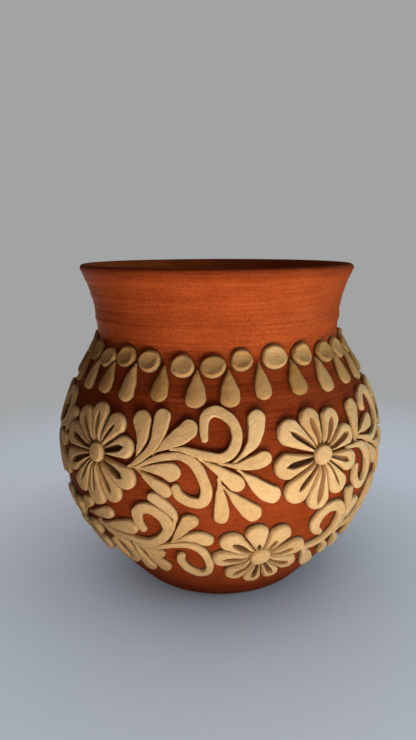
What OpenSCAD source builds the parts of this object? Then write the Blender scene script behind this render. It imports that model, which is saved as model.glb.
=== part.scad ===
// Round-bellied clay vase with a flared neck and an ornament of applied clay:
// a collar of beads and drops, and two bands of flowers and scrolled sprigs.
// Millimetres, +Z up, origin at the middle of the foot, front towards -Y.

/* [Body] */
// Height from the foot to the top of the lip
body_h = 142; // [130:1:155]
// Radius of the flat foot
foot_r = 39.5; // [36:0.5:44]
// Outer radius of the wall at its widest
belly_r = 72; // [66:0.5:80]
// Height of the widest place
belly_z = 64; // [58:0.5:70]
// Outer radius of the neck at its narrowest
neck_r = 53.7; // [50:0.1:57]
// Height where the shoulder turns into the neck
neck_z = 109.5; // [104:0.5:115]
// Outer radius of the flared lip
lip_r = 60; // [57:0.5:64]
// Thickness of the wall
wall_t = 4; // [3:0.1:5]
// Thickness of the rounded lip
lip_t = 3; // [2:0.1:4]
// Thickness of the floor
floor_t = 5; // [4:0.5:8]

/* [Curve of the wall] */
// Angle at which the wall leaves the foot
foot_angle = 47; // [42:1:52]
// Pull of the curve at the foot
foot_pull = 26; // [22:0.5:30]
// Pull of the curve below the widest place
belly_pull = 25.5; // [22:0.5:30]
// Pull of the curve above the widest place
shoulder_pull = 22.5; // [18:0.5:26]
// Pull of the curve below the neck
neck_pull = 4; // [3:0.5:6]
// Pull of the curve above the neck
flare_pull = 11.5; // [9:0.5:14]
// Angle of the wall at the lip
lip_angle = 64; // [58:1:72]
// Pull of the curve at the lip
lip_pull = 10.5; // [8:0.5:13]

/* [Applied clay] */
// Thickness of the leaves, scrolls and drops
leaf_t = 2; // [1.4:0.1:2.6]
// Thickness of the beads
bead_t = 2.3; // [1.6:0.1:3]
// Thickness of the petals
petal_t = 2.6; // [1.8:0.1:3.4]
// Thickness of the flower buttons
button_t = 3; // [2.4:0.1:3.8]
// Bevel on the edge of each piece
bevel = 0.9; // [0.5:0.1:1.2]
// Joining slip between the wall and a piece
slip_gap = 0.3; // [0.25:0.05:0.4]

/* [Collar] */
// Number of beads, and of the drops between them
bead_count = 29; // [24:1:31]
// Diameter of a bead
bead_d = 9.6; // [8:0.1:10.4]
// Height of the beads' middles in the drawing
bead_rise = 47.4; // [47:0.1:48.5]
// Length of a drop
drop_len = 14.2; // [12:0.1:14.8]
// Width of a drop at its round end
drop_w = 6.8; // [5:0.1:7.6]

/* [Flowers] */
// Radius of the upper flowers
upper_flower_r = 20; // [17:0.1:20.2]
// Radius of the lower flowers
lower_flower_r = 17.5; // [14:0.1:17.6]
// Diameter of a flower's button
button_d = 8.4; // [7:0.1:9.2]
// Gap between neighbouring petals
petal_gap = 0.5; // [0.4:0.1:1.2]
// Gap between a button and its petals
button_gap = 0.4; // [0.3:0.1:0.8]

/* [Hidden] */
// The ornament is drawn flat: x runs round the vase and y runs up the face of the
// ornament, from 0 at the widest place. The drawing is stretched to fill the wall.
shoulder_draw = 50.5;    // from the widest place up to the neck
flank_draw = 75;         // from the widest place down to the foot
upper_panel_draw = 93;   // one repeat of the upper band, from flower to flower
curve_steps = 14;        // straight steps in each curve of the wall
lip_steps = 4;           // straight steps on each side of the lip's top
round_facets = 128;      // facets of the body when it is drawn as a mesh
terracotta = [0.66, 0.27, 0.13];
cream = [0.85, 0.69, 0.47];

// Repeats of the lower band, from flower to flower: the first holds the long sprig
lower_panels = [82, 78, 76.7, 76.6, 76.7];
panel_count = len(lower_panels);

upper_flower_at = [-52, 8.9];
lower_flower_at = [14, -32.8];

// Petals: angle from the right, and reach as a share of the flower's radius
ten_petals = [
    [98, 1.01], [56, 0.98], [18, 0.95], [-27, 1.07], [-61, 1.06],
    [-95, 1.14], [-125, 1.13], [-155, 1.14], [167, 1.15], [133, 1.07]
];
nine_petals = [
    [104, 0.96], [61, 0.95], [21, 0.94], [-21, 0.93], [-61, 0.97],
    [-98, 1.1], [-135, 1.11], [-173, 1.06], [142, 1.11]
];
lower_petals = [
    [99, 1], [63, 0.98], [11, 1], [-32, 1.05], [-63, 1.02],
    [-95, 1.03], [-131, 1], [178, 1], [136, 1.07]
];

// Leaves and scrolls: [x, y, width] along each piece, from its root to its round tip.
// Upper sprig with room for all its leaves
loose_leaves = [
    [[-31.8, 11.7, 0.6], [-30.5, 16.8, 3.8], [-31, 21.5, 6.6], [-31.6, 24.2, 8.2]],
    [[-34.6, 7, 0.6], [-30.5, 9.9, 2], [-27, 13.4, 3], [-24.1, 18.4, 5], [-23, 26, 7.2]],
    [[-23.4, 14, 0.6], [-19.7, 16.6, 4.2], [-14.8, 20, 6.8], [-11.7, 22.5, 7.2]],
    [[-31.4, 6.7, 0.6], [-26, 6.8, 2.6], [-21.5, 7, 5], [-17.9, 6.3, 7.2]],
    [[-30.4, 5.2, 0.6], [-26.3, 2.7, 3], [-22.5, 0.2, 4.8], [-20.2, -1.2, 5]],
    [[7, 11.6, 0.6], [9.8, 14, 2.2], [13.1, 18, 5.2], [15, 25.6, 7.2]],
    [[2.4, 9.6, 0.5], [6.5, 9, 2], [11.5, 9.6, 4.8], [16.4, 11, 6]],
    [[-5.2, 10.4, 0.6], [-1, 7.9, 3], [3.2, 4.6, 5.2], [6.1, 2.3, 6]],
    [[8.4, 5.9, 0.6], [11.9, 2.7, 4], [15.5, -0.7, 6.4], [18.9, -3, 7]],
    [[-0.2, 1.9, 1.2], [0.1, -2.6, 3.8], [0.3, -8, 5.8], [0.3, -10.6, 5.8]],
    [[2.6, -0.4, 0.6], [6.1, -4.2, 3.8], [9.9, -7.8, 6.4], [11.8, -9.8, 7]]
];
loose_top_scroll = [
    [-15.6, 14.8, 0.5], [-12.5, 14.7, 1.6], [-7, 13.3, 2.6], [0, 12, 3.2],
    [4.4, 14.1, 3.8], [6.8, 19.4, 3.9], [4.7, 25.7, 3.7], [-1, 29.2, 3.8],
    [-5.2, 27.2, 3.8], [-6, 22.6, 2.8], [-5.6, 18.9, 1.8]
];
loose_low_scroll = [
    [-29, 8.3, 0.6], [-24.5, 10.6, 1.7], [-19, 12.1, 2.2], [-14, 12.3, 2.6],
    [-9, 9.6, 3.4], [-6, 4.1, 3.8], [-5, -1.2, 4], [-7, -4.9, 3.8],
    [-11.5, -4.5, 3.8], [-15.2, -2.3, 3.2], [-16.4, 0.5, 2.2]
];
// Upper sprig that starts closer to its flower
tight_leaves = [
    [[-31.6, 11.2, 0.6], [-30.8, 15.6, 3.4], [-29.4, 20.2, 6.2], [-28.9, 22.9, 7.4]],
    [[-28.2, 12.2, 0.6], [-24.5, 13.1, 3.4], [-20.5, 14.3, 5.8], [-18.4, 15, 6.2]],
    [[-21.4, 4.9, 0.6], [-17.4, 0.8, 4], [-14.6, -2.2, 5.6]],
    [[-16.6, 4.9, 0.6], [-11.6, 2.9, 3.6], [-7.2, 1.4, 5.2]],
    [[11.6, 11.5, 0.6], [15, 15.6, 4.2], [17.8, 19.7, 6]],
    [[3.4, 8.2, 0.6], [8, 7.2, 4], [12.2, 7, 6]],
    [[-2.6, 5.9, 0.6], [2, 2.3, 4], [6, -1.2, 5.8]],
    [[8.8, 1.6, 0.6], [12.2, -2.2, 4], [15, -5.2, 5.6]],
    [[-5.8, -2.6, 0.8], [-4.6, -7, 4], [-3.8, -11, 5.6]]
];
tight_top_scroll = [
    [-26.6, 9.8, 0.6], [-23.5, 8.8, 1.6], [-19.4, 7.4, 2.2], [-14, 8.2, 2.6],
    [-8.6, 11.5, 3], [-5.2, 16.4, 3.4], [-4.8, 21.5, 3.6], [-7.8, 25.8, 3.5],
    [-12.6, 27.3, 3.4], [-17.2, 25.8, 3.5], [-19.5, 22.8, 3], [-19.7, 20.7, 2.2]
];
tight_low_scroll = [
    [-35.6, 8.3, 0.6], [-32, 8.1, 1.6], [-27.5, 6.7, 2.4], [-24.2, 3.1, 2.9],
    [-23, -1.6, 3.1], [-23.6, -6.6, 3.2], [-26.6, -9.8, 3.2], [-30.6, -9, 3.2],
    [-33.2, -5.6, 2.8], [-33.4, -2.2, 2.4], [-33, -0.4, 1.8]
];
tight_end_scroll = [
    [-2.6, 10.5, 0.6], [3, 11.1, 1.8], [8.4, 13.3, 2.6], [11.4, 17.4, 3.1],
    [12, 22.1, 3.6], [9.4, 26.6, 3.8], [5, 27.7, 3.5], [1.8, 24.8, 3], [1.8, 21.1, 1.8]
];

// Lower sprig of the first repeat
long_leaves = [
    [[-56.4, -20, 0.6], [-54, -17.4, 3.6], [-52, -15.2, 5.2]],
    [[-51.6, -20.6, 0.6], [-47, -18.8, 3], [-43, -17.2, 5], [-41.6, -16.7, 5.6]],
    [[-45, -23.4, 0.6], [-39, -21.9, 4], [-34, -20.8, 6.4], [-32.4, -20.6, 6.8]],
    [[-31, -30.4, 0.6], [-26.5, -31.5, 2.8], [-23, -32.6, 4]],
    [[-28.4, -34.2, 0.6], [-25.6, -38, 3.8], [-23.4, -42, 5.8]],
    [[-33, -32.8, 0.6], [-32.2, -38.8, 3.4], [-31.2, -44.6, 5.6]],
    [[-15, -15, 0.4], [-14.5, -11.6, 1.3], [-16.9, -7.8, 3.2], [-20.9, -4.4, 4.4]]
];
long_top_scroll = [
    [-43.6, -25.2, 0.6], [-38, -26.3, 1.8], [-31, -26.9, 2.6], [-25, -26.3, 3],
    [-20.3, -23.1, 3.3], [-17.5, -18.1, 3.3], [-18, -13.2, 3.7], [-21.2, -10, 4],
    [-25, -9.6, 4.2], [-27.8, -12.2, 3.6], [-28, -16.1, 2.6], [-26.6, -19.8, 1.6]
];
long_back_scroll = [
    [-46.6, -25, 0.6], [-42.4, -27.6, 1.5], [-38.2, -30.8, 2.1], [-36.3, -35.5, 2.5],
    [-36.6, -40.6, 2.8], [-39.6, -43.6, 3.1], [-43, -41.4, 2.9], [-44.8, -36.8, 2.5],
    [-45, -33, 1.8]
];
// Lower sprigs of the other repeats
short_leaves = [
    [[-28.4, -20.2, 0.6], [-28.9, -15.8, 2.2], [-30, -11.6, 3.6], [-30.2, -10.2, 3.8]],
    [[-27.6, -24.4, 0.6], [-26.4, -20.6, 3], [-24.8, -17.6, 5]],
    [[-45, -35.8, 1.4], [-42, -40.6, 5.2], [-39.2, -45.6, 6.6]],
    [[-28.2, -34.2, 0.6], [-25.6, -38, 3.8], [-23.4, -42, 5.8]],
    [[-36, -34, 0.6], [-33.4, -37.6, 3.2], [-31.6, -41.6, 4.8]]
];
short_top_scroll = [
    [-46, -33.2, 0.6], [-41.5, -32.9, 1.8], [-37, -31.7, 2.4], [-33.6, -28.6, 2.8],
    [-32, -24.2, 3.1], [-32, -19.4, 3.4], [-34.4, -15.6, 3.9], [-38.5, -14.4, 4.2],
    [-42.1, -16, 4], [-44.3, -19.8, 3.6], [-43.6, -23.8, 2.8], [-41, -26.2, 1.8]
];
// Front end of every lower sprig, beside its flower
front_leaves = [
    [[-16.2, -23.3, 0.5], [-13.6, -18.8, 2.8], [-10.6, -14.4, 5.2], [-9.8, -13.2, 5.8]],
    [[-14.4, -23.1, 0.5], [-11.4, -21.1, 2.6], [-7.6, -20.6, 4.8], [-5, -21.8, 5.4]]
];
front_scroll = [
    [-28, -29.2, 0.6], [-22, -27.9, 1.2], [-16.5, -25.8, 1.7], [-11.5, -24.9, 2],
    [-7.4, -27.2, 2], [-5.2, -31.8, 2], [-4.4, -37.4, 2.1], [-5.6, -42.4, 2.4],
    [-9.2, -44.2, 2.5], [-13.2, -41.2, 2.3], [-15.2, -36, 2.1], [-14.6, -32, 2.3]
];

// How far each bead strays from its place in the collar: round the vase, up it, and in size
collar_start = -50.8;
bead_stray = [
    [0.2, -1, 0], [-1.2, 0.7, 0.2], [-1.5, 0, 0.1], [0.1, -1.2, 0.1], [-0.7, -1.2, 0.1],
    [-2.2, 0.9, -0.7], [-1.2, 1.2, 0.8], [-0.7, 0.9, 0.1], [0.3, 0.1, 0.4], [-0.5, 0, 0.2]
];
// How far each drop strays from its place: up the vase, in length and in width
drop_strays = [
    [0, -1.1, -0.2], [0, 1.3, -0.6], [1.4, 0, -0.6], [0, 0.2, 0], [0, 0, 0],
    [0, 0, -1.1], [0, 0, -0.2], [0, 0.2, -0.5], [0, -0.4, -0.5], [0, 0, -0.2]
];

// Wall: a point on a cubic curve with four control points
function cubic(p, t) =
    let (s = 1 - t)
    s * s * s * p[0] + 3 * s * s * t * p[1] + 3 * s * t * t * p[2] + t * t * t * p[3];

lip_z = body_h - lip_t / 2 * (1 + cos(lip_angle));
flank = [
    [foot_r, 0],
    [foot_r + foot_pull * cos(foot_angle), foot_pull * sin(foot_angle)],
    [belly_r, belly_z - belly_pull],
    [belly_r, belly_z]
];
shoulder = [
    [belly_r, belly_z],
    [belly_r, belly_z + shoulder_pull],
    [neck_r, neck_z - neck_pull],
    [neck_r, neck_z]
];
neck = [
    [neck_r, neck_z],
    [neck_r, neck_z + flare_pull],
    [lip_r - lip_pull * cos(lip_angle), lip_z - lip_pull * sin(lip_angle)],
    [lip_r, lip_z]
];
wall = concat(
    [for (i = [0 : curve_steps - 1]) cubic(flank, i / curve_steps)],
    [for (i = [0 : curve_steps - 1]) cubic(shoulder, i / curve_steps)],
    [for (i = [0 : curve_steps]) cubic(neck, i / curve_steps)]
);
last = len(wall) - 1;
belly_i = curve_steps;
neck_i = 2 * curve_steps;

// Outward direction of the wall at each point, square to the steps on either side
function outward(i) =
    let (step = wall[min(i + 1, last)] - wall[max(i - 1, 0)])
    i == last ? [sin(lip_angle), -cos(lip_angle)] : [step[1], -step[0]] / norm(step);

// Running length over the face of the ornament
face = [for (i = [0 : last]) wall[i] + leaf_t * outward(i)];
face_step = [for (i = [0 : last]) norm(face[min(i + 1, last)] - face[i])];
face_run = [for (i = 0, run = 0; i <= last; run = run + face_step[i], i = i + 1) run];

// The drawing's y at each point of the wall
function drawn_y(i) =
    let (run = face_run[i] - face_run[belly_i])
    run < 0
        ? run * flank_draw / face_run[belly_i]
        : run * shoulder_draw / (face_run[neck_i] - face_run[belly_i]);

wall_r = [for (i = [0 : last]) [drawn_y(i), wall[i][0]]];
wall_z = [for (i = [0 : last]) [drawn_y(i), wall[i][1]]];
wall_lean = [for (i = [0 : last]) [drawn_y(i), atan2(outward(i)[1], outward(i)[0])]];

// The point at a turn round the vase, a height in the drawing and a lift off the wall
function on_wall(turn, y, lift) =
    let (lean = lookup(y, wall_lean), r = lookup(y, wall_r) + lift * cos(lean))
    [r * sin(turn), -r * cos(turn), lookup(y, wall_z) + lift * sin(lean)];

// Pieces: a smooth line through [x, y, width] places, at t from 0 to the last place
function along(p, t) =
    let (
        i = min(floor(t), len(p) - 2), u = t - i,
        a = p[max(i - 1, 0)], b = p[i], c = p[i + 1], d = p[min(i + 2, len(p) - 1)]
    )
    b + u * (c - a) / 2
        + u * u * (a - 2.5 * b + 2 * c - d / 2)
        + u * u * u * (1.5 * (b - c) + (d - a) / 2);

function flat(p) = [p[0], p[1]];
function unit(v) = v / norm(v);
function square_to(v) = [-v[1], v[0]];

// Cross line of a piece at its round ends: [middle, half width, direction] at an angle past the end
cap_angles = [35, 70];
least_half = 0.1;
function cap(end, heading, inset, angle) =
    let (r = max(end[2] / 2 - inset, least_half))
    [flat(end) + heading * r * sin(angle), r * cos(angle), heading];

// All the cross lines of a piece, root to tip, drawn in by an inset
function cross_lines(p, steps, inset) =
    let (
        n = len(p) - 1,
        root_way = unit(flat(p[0]) - flat(along(p, 0.1))),
        tip_way = unit(flat(p[n]) - flat(along(p, n - 0.1)))
    )
    concat(
        [for (k = [len(cap_angles) - 1 : -1 : 0])
            let (line = cap(p[0], root_way, inset, cap_angles[k])) [line[0], line[1], -root_way]],
        [for (k = [0 : steps])
            let (t = n * k / steps, here = along(p, t),
                way = unit(flat(along(p, min(t + 0.05, n))) - flat(along(p, max(t - 0.05, 0)))))
            [flat(here), max(here[2] / 2 - inset, least_half), way]],
        [for (angle = cap_angles) cap(p[n], tip_way, inset, angle)]
    );

// One end of a cross line, set on the wall: start is the turn of the drawing's x = 0, and
// pitch is the degrees of turn to a millimetre of drawing
function placed(line, side, lift, start, pitch) =
    let (q = line[0] + side * line[1] * square_to(line[2]))
    on_wall(start + q[0] * pitch, q[1], lift);

// One piece of applied clay: wide on the slip, bevelled to a narrower face
module clay(p, thickness, steps, start, pitch) {
    foot_lines = cross_lines(p, steps, 0);
    face_lines = cross_lines(p, steps, bevel);
    lines = len(foot_lines);
    points = [for (k = [0 : lines - 1]) each [
        placed(foot_lines[k], 1, slip_gap, start, pitch),
        placed(face_lines[k], 1, slip_gap + thickness, start, pitch),
        placed(face_lines[k], -1, slip_gap + thickness, start, pitch),
        placed(foot_lines[k], -1, slip_gap, start, pitch)
    ]];
    sides = [for (k = [0 : lines - 2], s = [0 : 3])
        let (a = 4 * k + s, b = 4 * k + (s + 1) % 4)
        each [[a, b + 4, b], [a, a + 4, b + 4]]];
    end = 4 * (lines - 1);
    ends = [[0, 1, 2], [0, 2, 3], [end, end + 2, end + 1], [end, end + 3, end + 2]];
    polyhedron(points, concat(sides, ends));
}

// Cross lines between the ends of a leaf, a scroll, and a bead or button
leaf_steps = 4;
scroll_steps = 18;
round_steps = 3;
point_w = 0.6;           // width of the pointed root of a drop or petal

// Degrees to the millimetre of drawing, and the turn of each repeat
upper_pitch = 360 / panel_count / upper_panel_draw;
function upper_turn(k) = (k - 1) * 360 / panel_count;
function is_loose(k) = k == 1 || k == 3;

function total(list, n) = n == 0 ? 0 : list[n - 1] + total(list, n - 1);
lower_pitch = 360 / total(lower_panels, panel_count);
function is_long(k) = k == 1;
function lower_fit(k) = lower_panels[k - 1] / lower_panels[is_long(k) ? 0 : 1];
// A repeat is fitted between its two flowers, so its drawing is stretched about its own flower
function lower_k_pitch(k) = lower_pitch * lower_fit(k);
function lower_turn(k) =
    lower_pitch * (total(lower_panels, k) - lower_panels[0] + lower_flower_at[0] * (1 - lower_fit(k)));

// Body: the thrown pot, an even wall with a rounded lip and a flat floor
inner = [for (i = [last : -1 : 0]) wall[i] - outward(i) * (i > neck_i
    ? wall_t + (lip_t - wall_t) * (i - neck_i) / (last - neck_i)
    : wall_t)];
inner_wall = [for (p = inner) if (p[1] > floor_t) p];
floor_edge = inner_wall[len(inner_wall) - 1][0];

module body() {
    lip_out = outward(last);
    lip_middle = wall[last] - lip_out * lip_t / 2;
    lip_start = atan2(lip_out[1], lip_out[0]);
    lip_angles = concat(
        [for (k = [1 : lip_steps]) lip_start + (90 - lip_start) * k / lip_steps],
        [for (k = [1 : lip_steps - 1]) 90 + (90 + lip_start) * k / lip_steps]
    );
    lip_round = [for (a = lip_angles) lip_middle + lip_t / 2 * [cos(a), sin(a)]];
    color(terracotta)
        rotate_extrude($fn = round_facets)
            polygon(concat([[0, 0]], wall, lip_round, inner_wall, [[floor_edge, floor_t], [0, floor_t]]));
}

// A round pellet is a very short piece: its ends are round, and its middle is this share of it
pellet_middle = 0.2;
function pellet(x, y, d) =
    let (half = d * pellet_middle / 2, w = d * (1 - pellet_middle))
    [[x - half, y, w], [x + half, y, w]];

// Collar: a row of flat beads, with a drop hanging between each two
collar_pitch = 360 / bead_count;
collar_draw = 2 * PI * lookup(bead_rise, wall_r) / 360;   // millimetres to a degree
drop_below = 1.6;        // how far a drop starts below the middles of its two beads
drop_waist = [0.4, 0.8];    // share of its length, and of its width there
function stray(k) = bead_stray[k % len(bead_stray)];
function drop_stray(k) = drop_strays[k % len(drop_strays)];
function bead_turn(k) = collar_start + collar_pitch * k + stray(k)[0] / collar_draw;
function bead_y(k) = bead_rise + stray(k)[1];
function bead_size(k) = bead_d + stray(k)[2];
function bead_edge(k, side) = bead_turn(k) + side * bead_size(k) / 2 / collar_draw;

module collar_beads() {
    color(cream)
        for (k = [0 : bead_count - 1])
            clay(pellet(0, bead_y(k), bead_size(k)), bead_t, round_steps, bead_turn(k), 1 / collar_draw);
}

module collar_drops() {
    color(cream)
        for (k = [0 : bead_count - 1]) {
            next = (k + 1) % bead_count;
            turn = (bead_edge(k, 1) + bead_edge(next, -1) + (next == 0 ? 360 : 0)) / 2;
            top = min(bead_y(k), bead_y(next)) - drop_below + drop_stray(k)[0];
            reach = drop_len + drop_stray(k)[1];
            wide = drop_w + drop_stray(k)[2];
            drop = [
                [0, top, point_w],
                [0, top - reach * drop_waist[0], wide * drop_waist[1]],
                [0, top - reach + wide / 2, wide]
            ];
            clay(drop, leaf_t, leaf_steps, turn, 1 / collar_draw);
        }
}

// Flowers: petals round a button, each as wide as its nearer neighbour allows
function gap_to(petals, k, side) =
    let (n = len(petals), d = petals[(k + side + n) % n][0] - petals[k][0])
    abs(d - 360 * round(d / 360));
function half_angle(petals, k) = min(gap_to(petals, k, 1), gap_to(petals, k, -1)) / 2;

function petal(at, petals, k, radius) =
    let (
        way = [cos(petals[k][0]), sin(petals[k][0])],
        spread = sin(half_angle(petals, k)),
        reach = radius * petals[k][1],
        tip_r = (reach + petal_gap / 2) / (1 + spread),
        root_r = (button_d / 2 + button_gap - petal_gap / 2) / (1 - spread),
        width = function (r) max(2 * r * spread - petal_gap, point_w)
    )
    [for (r = [root_r, (root_r + tip_r) / 2, tip_r]) [at[0] + r * way[0], at[1] + r * way[1], width(r)]];

module petals(at, rows, radius, start, pitch) {
    color(cream)
        for (k = [0 : len(rows) - 1])
            clay(petal(at, rows, k, radius), petal_t, leaf_steps, start, pitch);
}

module button(at, start, pitch) {
    color(cream)
        clay(pellet(at[0], at[1], button_d), button_t, round_steps, start, pitch);
}

// Sprigs: scrolls and leaves
module strokes(pieces, steps, start, pitch) {
    color(cream)
        for (p = pieces) clay(p, leaf_t, steps, start, pitch);
}

module upper_flower_petals(k) {
    rows = is_loose(k) ? ten_petals : nine_petals;
    petals(upper_flower_at, rows, upper_flower_r, upper_turn(k), upper_pitch);
}

module upper_flower_button(k) {
    button(upper_flower_at, upper_turn(k), upper_pitch);
}

module upper_sprig_top_scrolls(k) {
    scrolls = is_loose(k) ? [loose_top_scroll] : [tight_top_scroll, tight_end_scroll];
    strokes(scrolls, scroll_steps, upper_turn(k), upper_pitch);
}

module upper_sprig_low_scroll(k) {
    scroll = is_loose(k) ? loose_low_scroll : tight_low_scroll;
    strokes([scroll], scroll_steps, upper_turn(k), upper_pitch);
}

module upper_sprig_leaves(k) {
    strokes(is_loose(k) ? loose_leaves : tight_leaves, leaf_steps, upper_turn(k), upper_pitch);
}

module lower_flower_petals(k) {
    petals(lower_flower_at, lower_petals, lower_flower_r, lower_turn(k), lower_k_pitch(k));
}

module lower_flower_button(k) {
    button(lower_flower_at, lower_turn(k), lower_k_pitch(k));
}

module lower_sprig_top_scroll(k) {
    scroll = is_long(k) ? long_top_scroll : short_top_scroll;
    strokes([scroll], scroll_steps, lower_turn(k), lower_k_pitch(k));
}

module lower_sprig_low_scrolls(k) {
    scrolls = is_long(k) ? [front_scroll, long_back_scroll] : [front_scroll];
    strokes(scrolls, scroll_steps, lower_turn(k), lower_k_pitch(k));
}

module lower_sprig_leaves(k) {
    leaves = concat(is_long(k) ? long_leaves : short_leaves, front_leaves);
    strokes(leaves, leaf_steps, lower_turn(k), lower_k_pitch(k));
}

PANELS = [1 : panel_count];
NODES = concat(
    ["body", "collar_beads", "collar_drops"],
    [for (k = PANELS) each [
        str("upper_flower_", k, "_petals"),
        str("upper_flower_", k, "_button"),
        str("upper_sprig_", k, "_top_scrolls"),
        str("upper_sprig_", k, "_low_scroll"),
        str("upper_sprig_", k, "_leaves"),
        str("lower_flower_", k, "_petals"),
        str("lower_flower_", k, "_button"),
        str("lower_sprig_", k, "_top_scroll"),
        str("lower_sprig_", k, "_low_scrolls"),
        str("lower_sprig_", k, "_leaves")
    ]]
);
node = "all";
function shown(name) = node == "all" || node == name;

if (shown("body")) body();
if (shown("collar_beads")) collar_beads();
if (shown("collar_drops")) collar_drops();
for (k = PANELS) {
    if (shown(str("upper_flower_", k, "_petals"))) upper_flower_petals(k);
    if (shown(str("upper_flower_", k, "_button"))) upper_flower_button(k);
    if (shown(str("upper_sprig_", k, "_top_scrolls"))) upper_sprig_top_scrolls(k);
    if (shown(str("upper_sprig_", k, "_low_scroll"))) upper_sprig_low_scroll(k);
    if (shown(str("upper_sprig_", k, "_leaves"))) upper_sprig_leaves(k);
    if (shown(str("lower_flower_", k, "_petals"))) lower_flower_petals(k);
    if (shown(str("lower_flower_", k, "_button"))) lower_flower_button(k);
    if (shown(str("lower_sprig_", k, "_top_scroll"))) lower_sprig_top_scroll(k);
    if (shown(str("lower_sprig_", k, "_low_scrolls"))) lower_sprig_low_scrolls(k);
    if (shown(str("lower_sprig_", k, "_leaves"))) lower_sprig_leaves(k);
}
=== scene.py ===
# %% [markdown]
# # A clay vase with applied flowers
#
# The vase is a thrown pot of red clay. While it was still damp, its maker stuck pieces of a paler
# clay on it with slip: a collar of beads and drops, and two bands of flowers and scrolled sprigs.
# The solids of the vase are loaded first as a fixed frame. Every surface below is then worked out
# in the same frame, in millimetres, and goes into its mesh in metres.

# %% Load the solids
import math

import bpy
import numpy as np
from mathutils import Matrix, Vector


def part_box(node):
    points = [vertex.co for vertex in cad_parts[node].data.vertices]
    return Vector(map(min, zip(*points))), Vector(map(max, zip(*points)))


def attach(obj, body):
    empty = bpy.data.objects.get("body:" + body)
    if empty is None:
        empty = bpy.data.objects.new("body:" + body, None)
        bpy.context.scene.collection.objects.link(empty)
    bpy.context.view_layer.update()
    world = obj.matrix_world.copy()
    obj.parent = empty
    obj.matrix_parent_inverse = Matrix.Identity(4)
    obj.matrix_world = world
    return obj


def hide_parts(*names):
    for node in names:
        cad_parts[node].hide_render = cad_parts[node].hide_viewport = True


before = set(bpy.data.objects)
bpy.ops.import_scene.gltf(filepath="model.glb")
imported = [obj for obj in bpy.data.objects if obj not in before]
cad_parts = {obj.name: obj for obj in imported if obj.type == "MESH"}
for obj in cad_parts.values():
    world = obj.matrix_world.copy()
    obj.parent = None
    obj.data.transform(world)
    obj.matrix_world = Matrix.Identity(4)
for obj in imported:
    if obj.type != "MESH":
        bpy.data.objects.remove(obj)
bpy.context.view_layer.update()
MM = 0.001
print("nodes:", len(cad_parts))

# %% [markdown]
# ## The camera
#
# The picture is a close-up: the camera stands about 27 cm from the axis of the vase, a little
# above its lip, and looks slightly down. A lens for that view could be guessed by eye. Here the
# eye's place and angles are named, and the camera's matrix is built from them, so that the vase
# lands where it stands in the picture. The roll is small, but without it the vase leans.

# %% Set up the camera
EYE = (0.0, -0.265, 0.15025)
LOOK_DOWN = math.radians(12.47)
LOOK_LEFT = math.radians(1.02)
CAMERA_ROLL = math.radians(-1.20)
SENSOR_MM, FOCAL_PX = 36.0, 580.0
FRAME_W, FRAME_H = 416, 740
NEAREST_SEEN = 0.01


def stand(x_axis, y_axis, z_axis, place):
    """Matrix of an object that stands at a place: its columns are the three axes and the place."""
    rows = np.stack([x_axis, y_axis, z_axis, np.array(place, float)], axis=1)
    return Matrix([*rows.tolist(), [0, 0, 0, 1]])


def make_camera():
    """Camera axes: forward from the two look angles, right level with the floor, then a small roll."""
    forward = np.array([-math.sin(LOOK_LEFT) * math.cos(LOOK_DOWN),
                        math.cos(LOOK_LEFT) * math.cos(LOOK_DOWN),
                        -math.sin(LOOK_DOWN)])
    level = np.array([math.cos(LOOK_LEFT), math.sin(LOOK_LEFT), 0.0])
    upright = np.cross(level, forward)
    right = math.cos(CAMERA_ROLL) * level + math.sin(CAMERA_ROLL) * upright
    up = math.cos(CAMERA_ROLL) * upright - math.sin(CAMERA_ROLL) * level
    camera = bpy.data.objects.new("camera", bpy.data.cameras.new("camera"))
    camera.matrix_world = stand(right, up, -forward, EYE)
    camera.data.sensor_width = SENSOR_MM
    camera.data.lens = FOCAL_PX * SENSOR_MM / max(FRAME_W, FRAME_H)
    camera.data.clip_start = NEAREST_SEEN
    bpy.context.scene.collection.objects.link(camera)
    bpy.context.scene.camera = camera
    return camera


camera = make_camera()
print("lens:", round(camera.data.lens, 2), "mm")

# %% [markdown]
# ## Shader nodes in a few steps
#
# The floor, the room and both clays are made of shader nodes. Every node could be added and wired
# line by line, but a few steps come back each time. They are named here once: make a node, carry
# a value to another range, lay colours along a value, and find the rays that are only seen.

# %% Name the steps for shader nodes


def new_node(tree, kind, **values):
    """A new node of a kind, with some of its settings or input values set by name."""
    node = tree.nodes.new(kind)
    for name, value in values.items():
        if hasattr(node, name):
            setattr(node, name, value)
        else:
            node.inputs[name.replace("_", " ")].default_value = value
    return node


def to_range(tree, source, low, high, new_low, new_high, curve="LINEAR"):
    """A value carried from one range to another, and held inside it."""
    node = new_node(tree, "ShaderNodeMapRange", interpolation_type=curve,
                    From_Min=low, From_Max=high, To_Min=new_low, To_Max=new_high)
    tree.links.new(source, node.inputs["Value"])
    return node.outputs["Result"]


def colour_ramp(tree, source, stops):
    """Colours along a value, as (place, colour) stops."""
    node = new_node(tree, "ShaderNodeValToRGB")
    ramp = node.color_ramp
    while len(ramp.elements) < len(stops):
        ramp.elements.new(0.5)
    for element, (place, colour) in zip(ramp.elements, stops):
        element.position = place
        element.color = colour
    tree.links.new(source, node.inputs["Fac"])
    return node.outputs["Color"]


def seen_rays(tree):
    """1 for the rays that show a surface: those of the camera, of gloss and through glass. Others are 0."""
    path = new_node(tree, "ShaderNodeLightPath")
    seen = path.outputs["Is Camera Ray"]
    for label in ("Is Glossy Ray", "Is Transmission Ray"):
        either = new_node(tree, "ShaderNodeMath", operation="MAXIMUM")
        tree.links.new(seen, either.inputs[0])
        tree.links.new(path.outputs[label], either.inputs[1])
        seen = either.outputs[0]
    return seen


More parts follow.
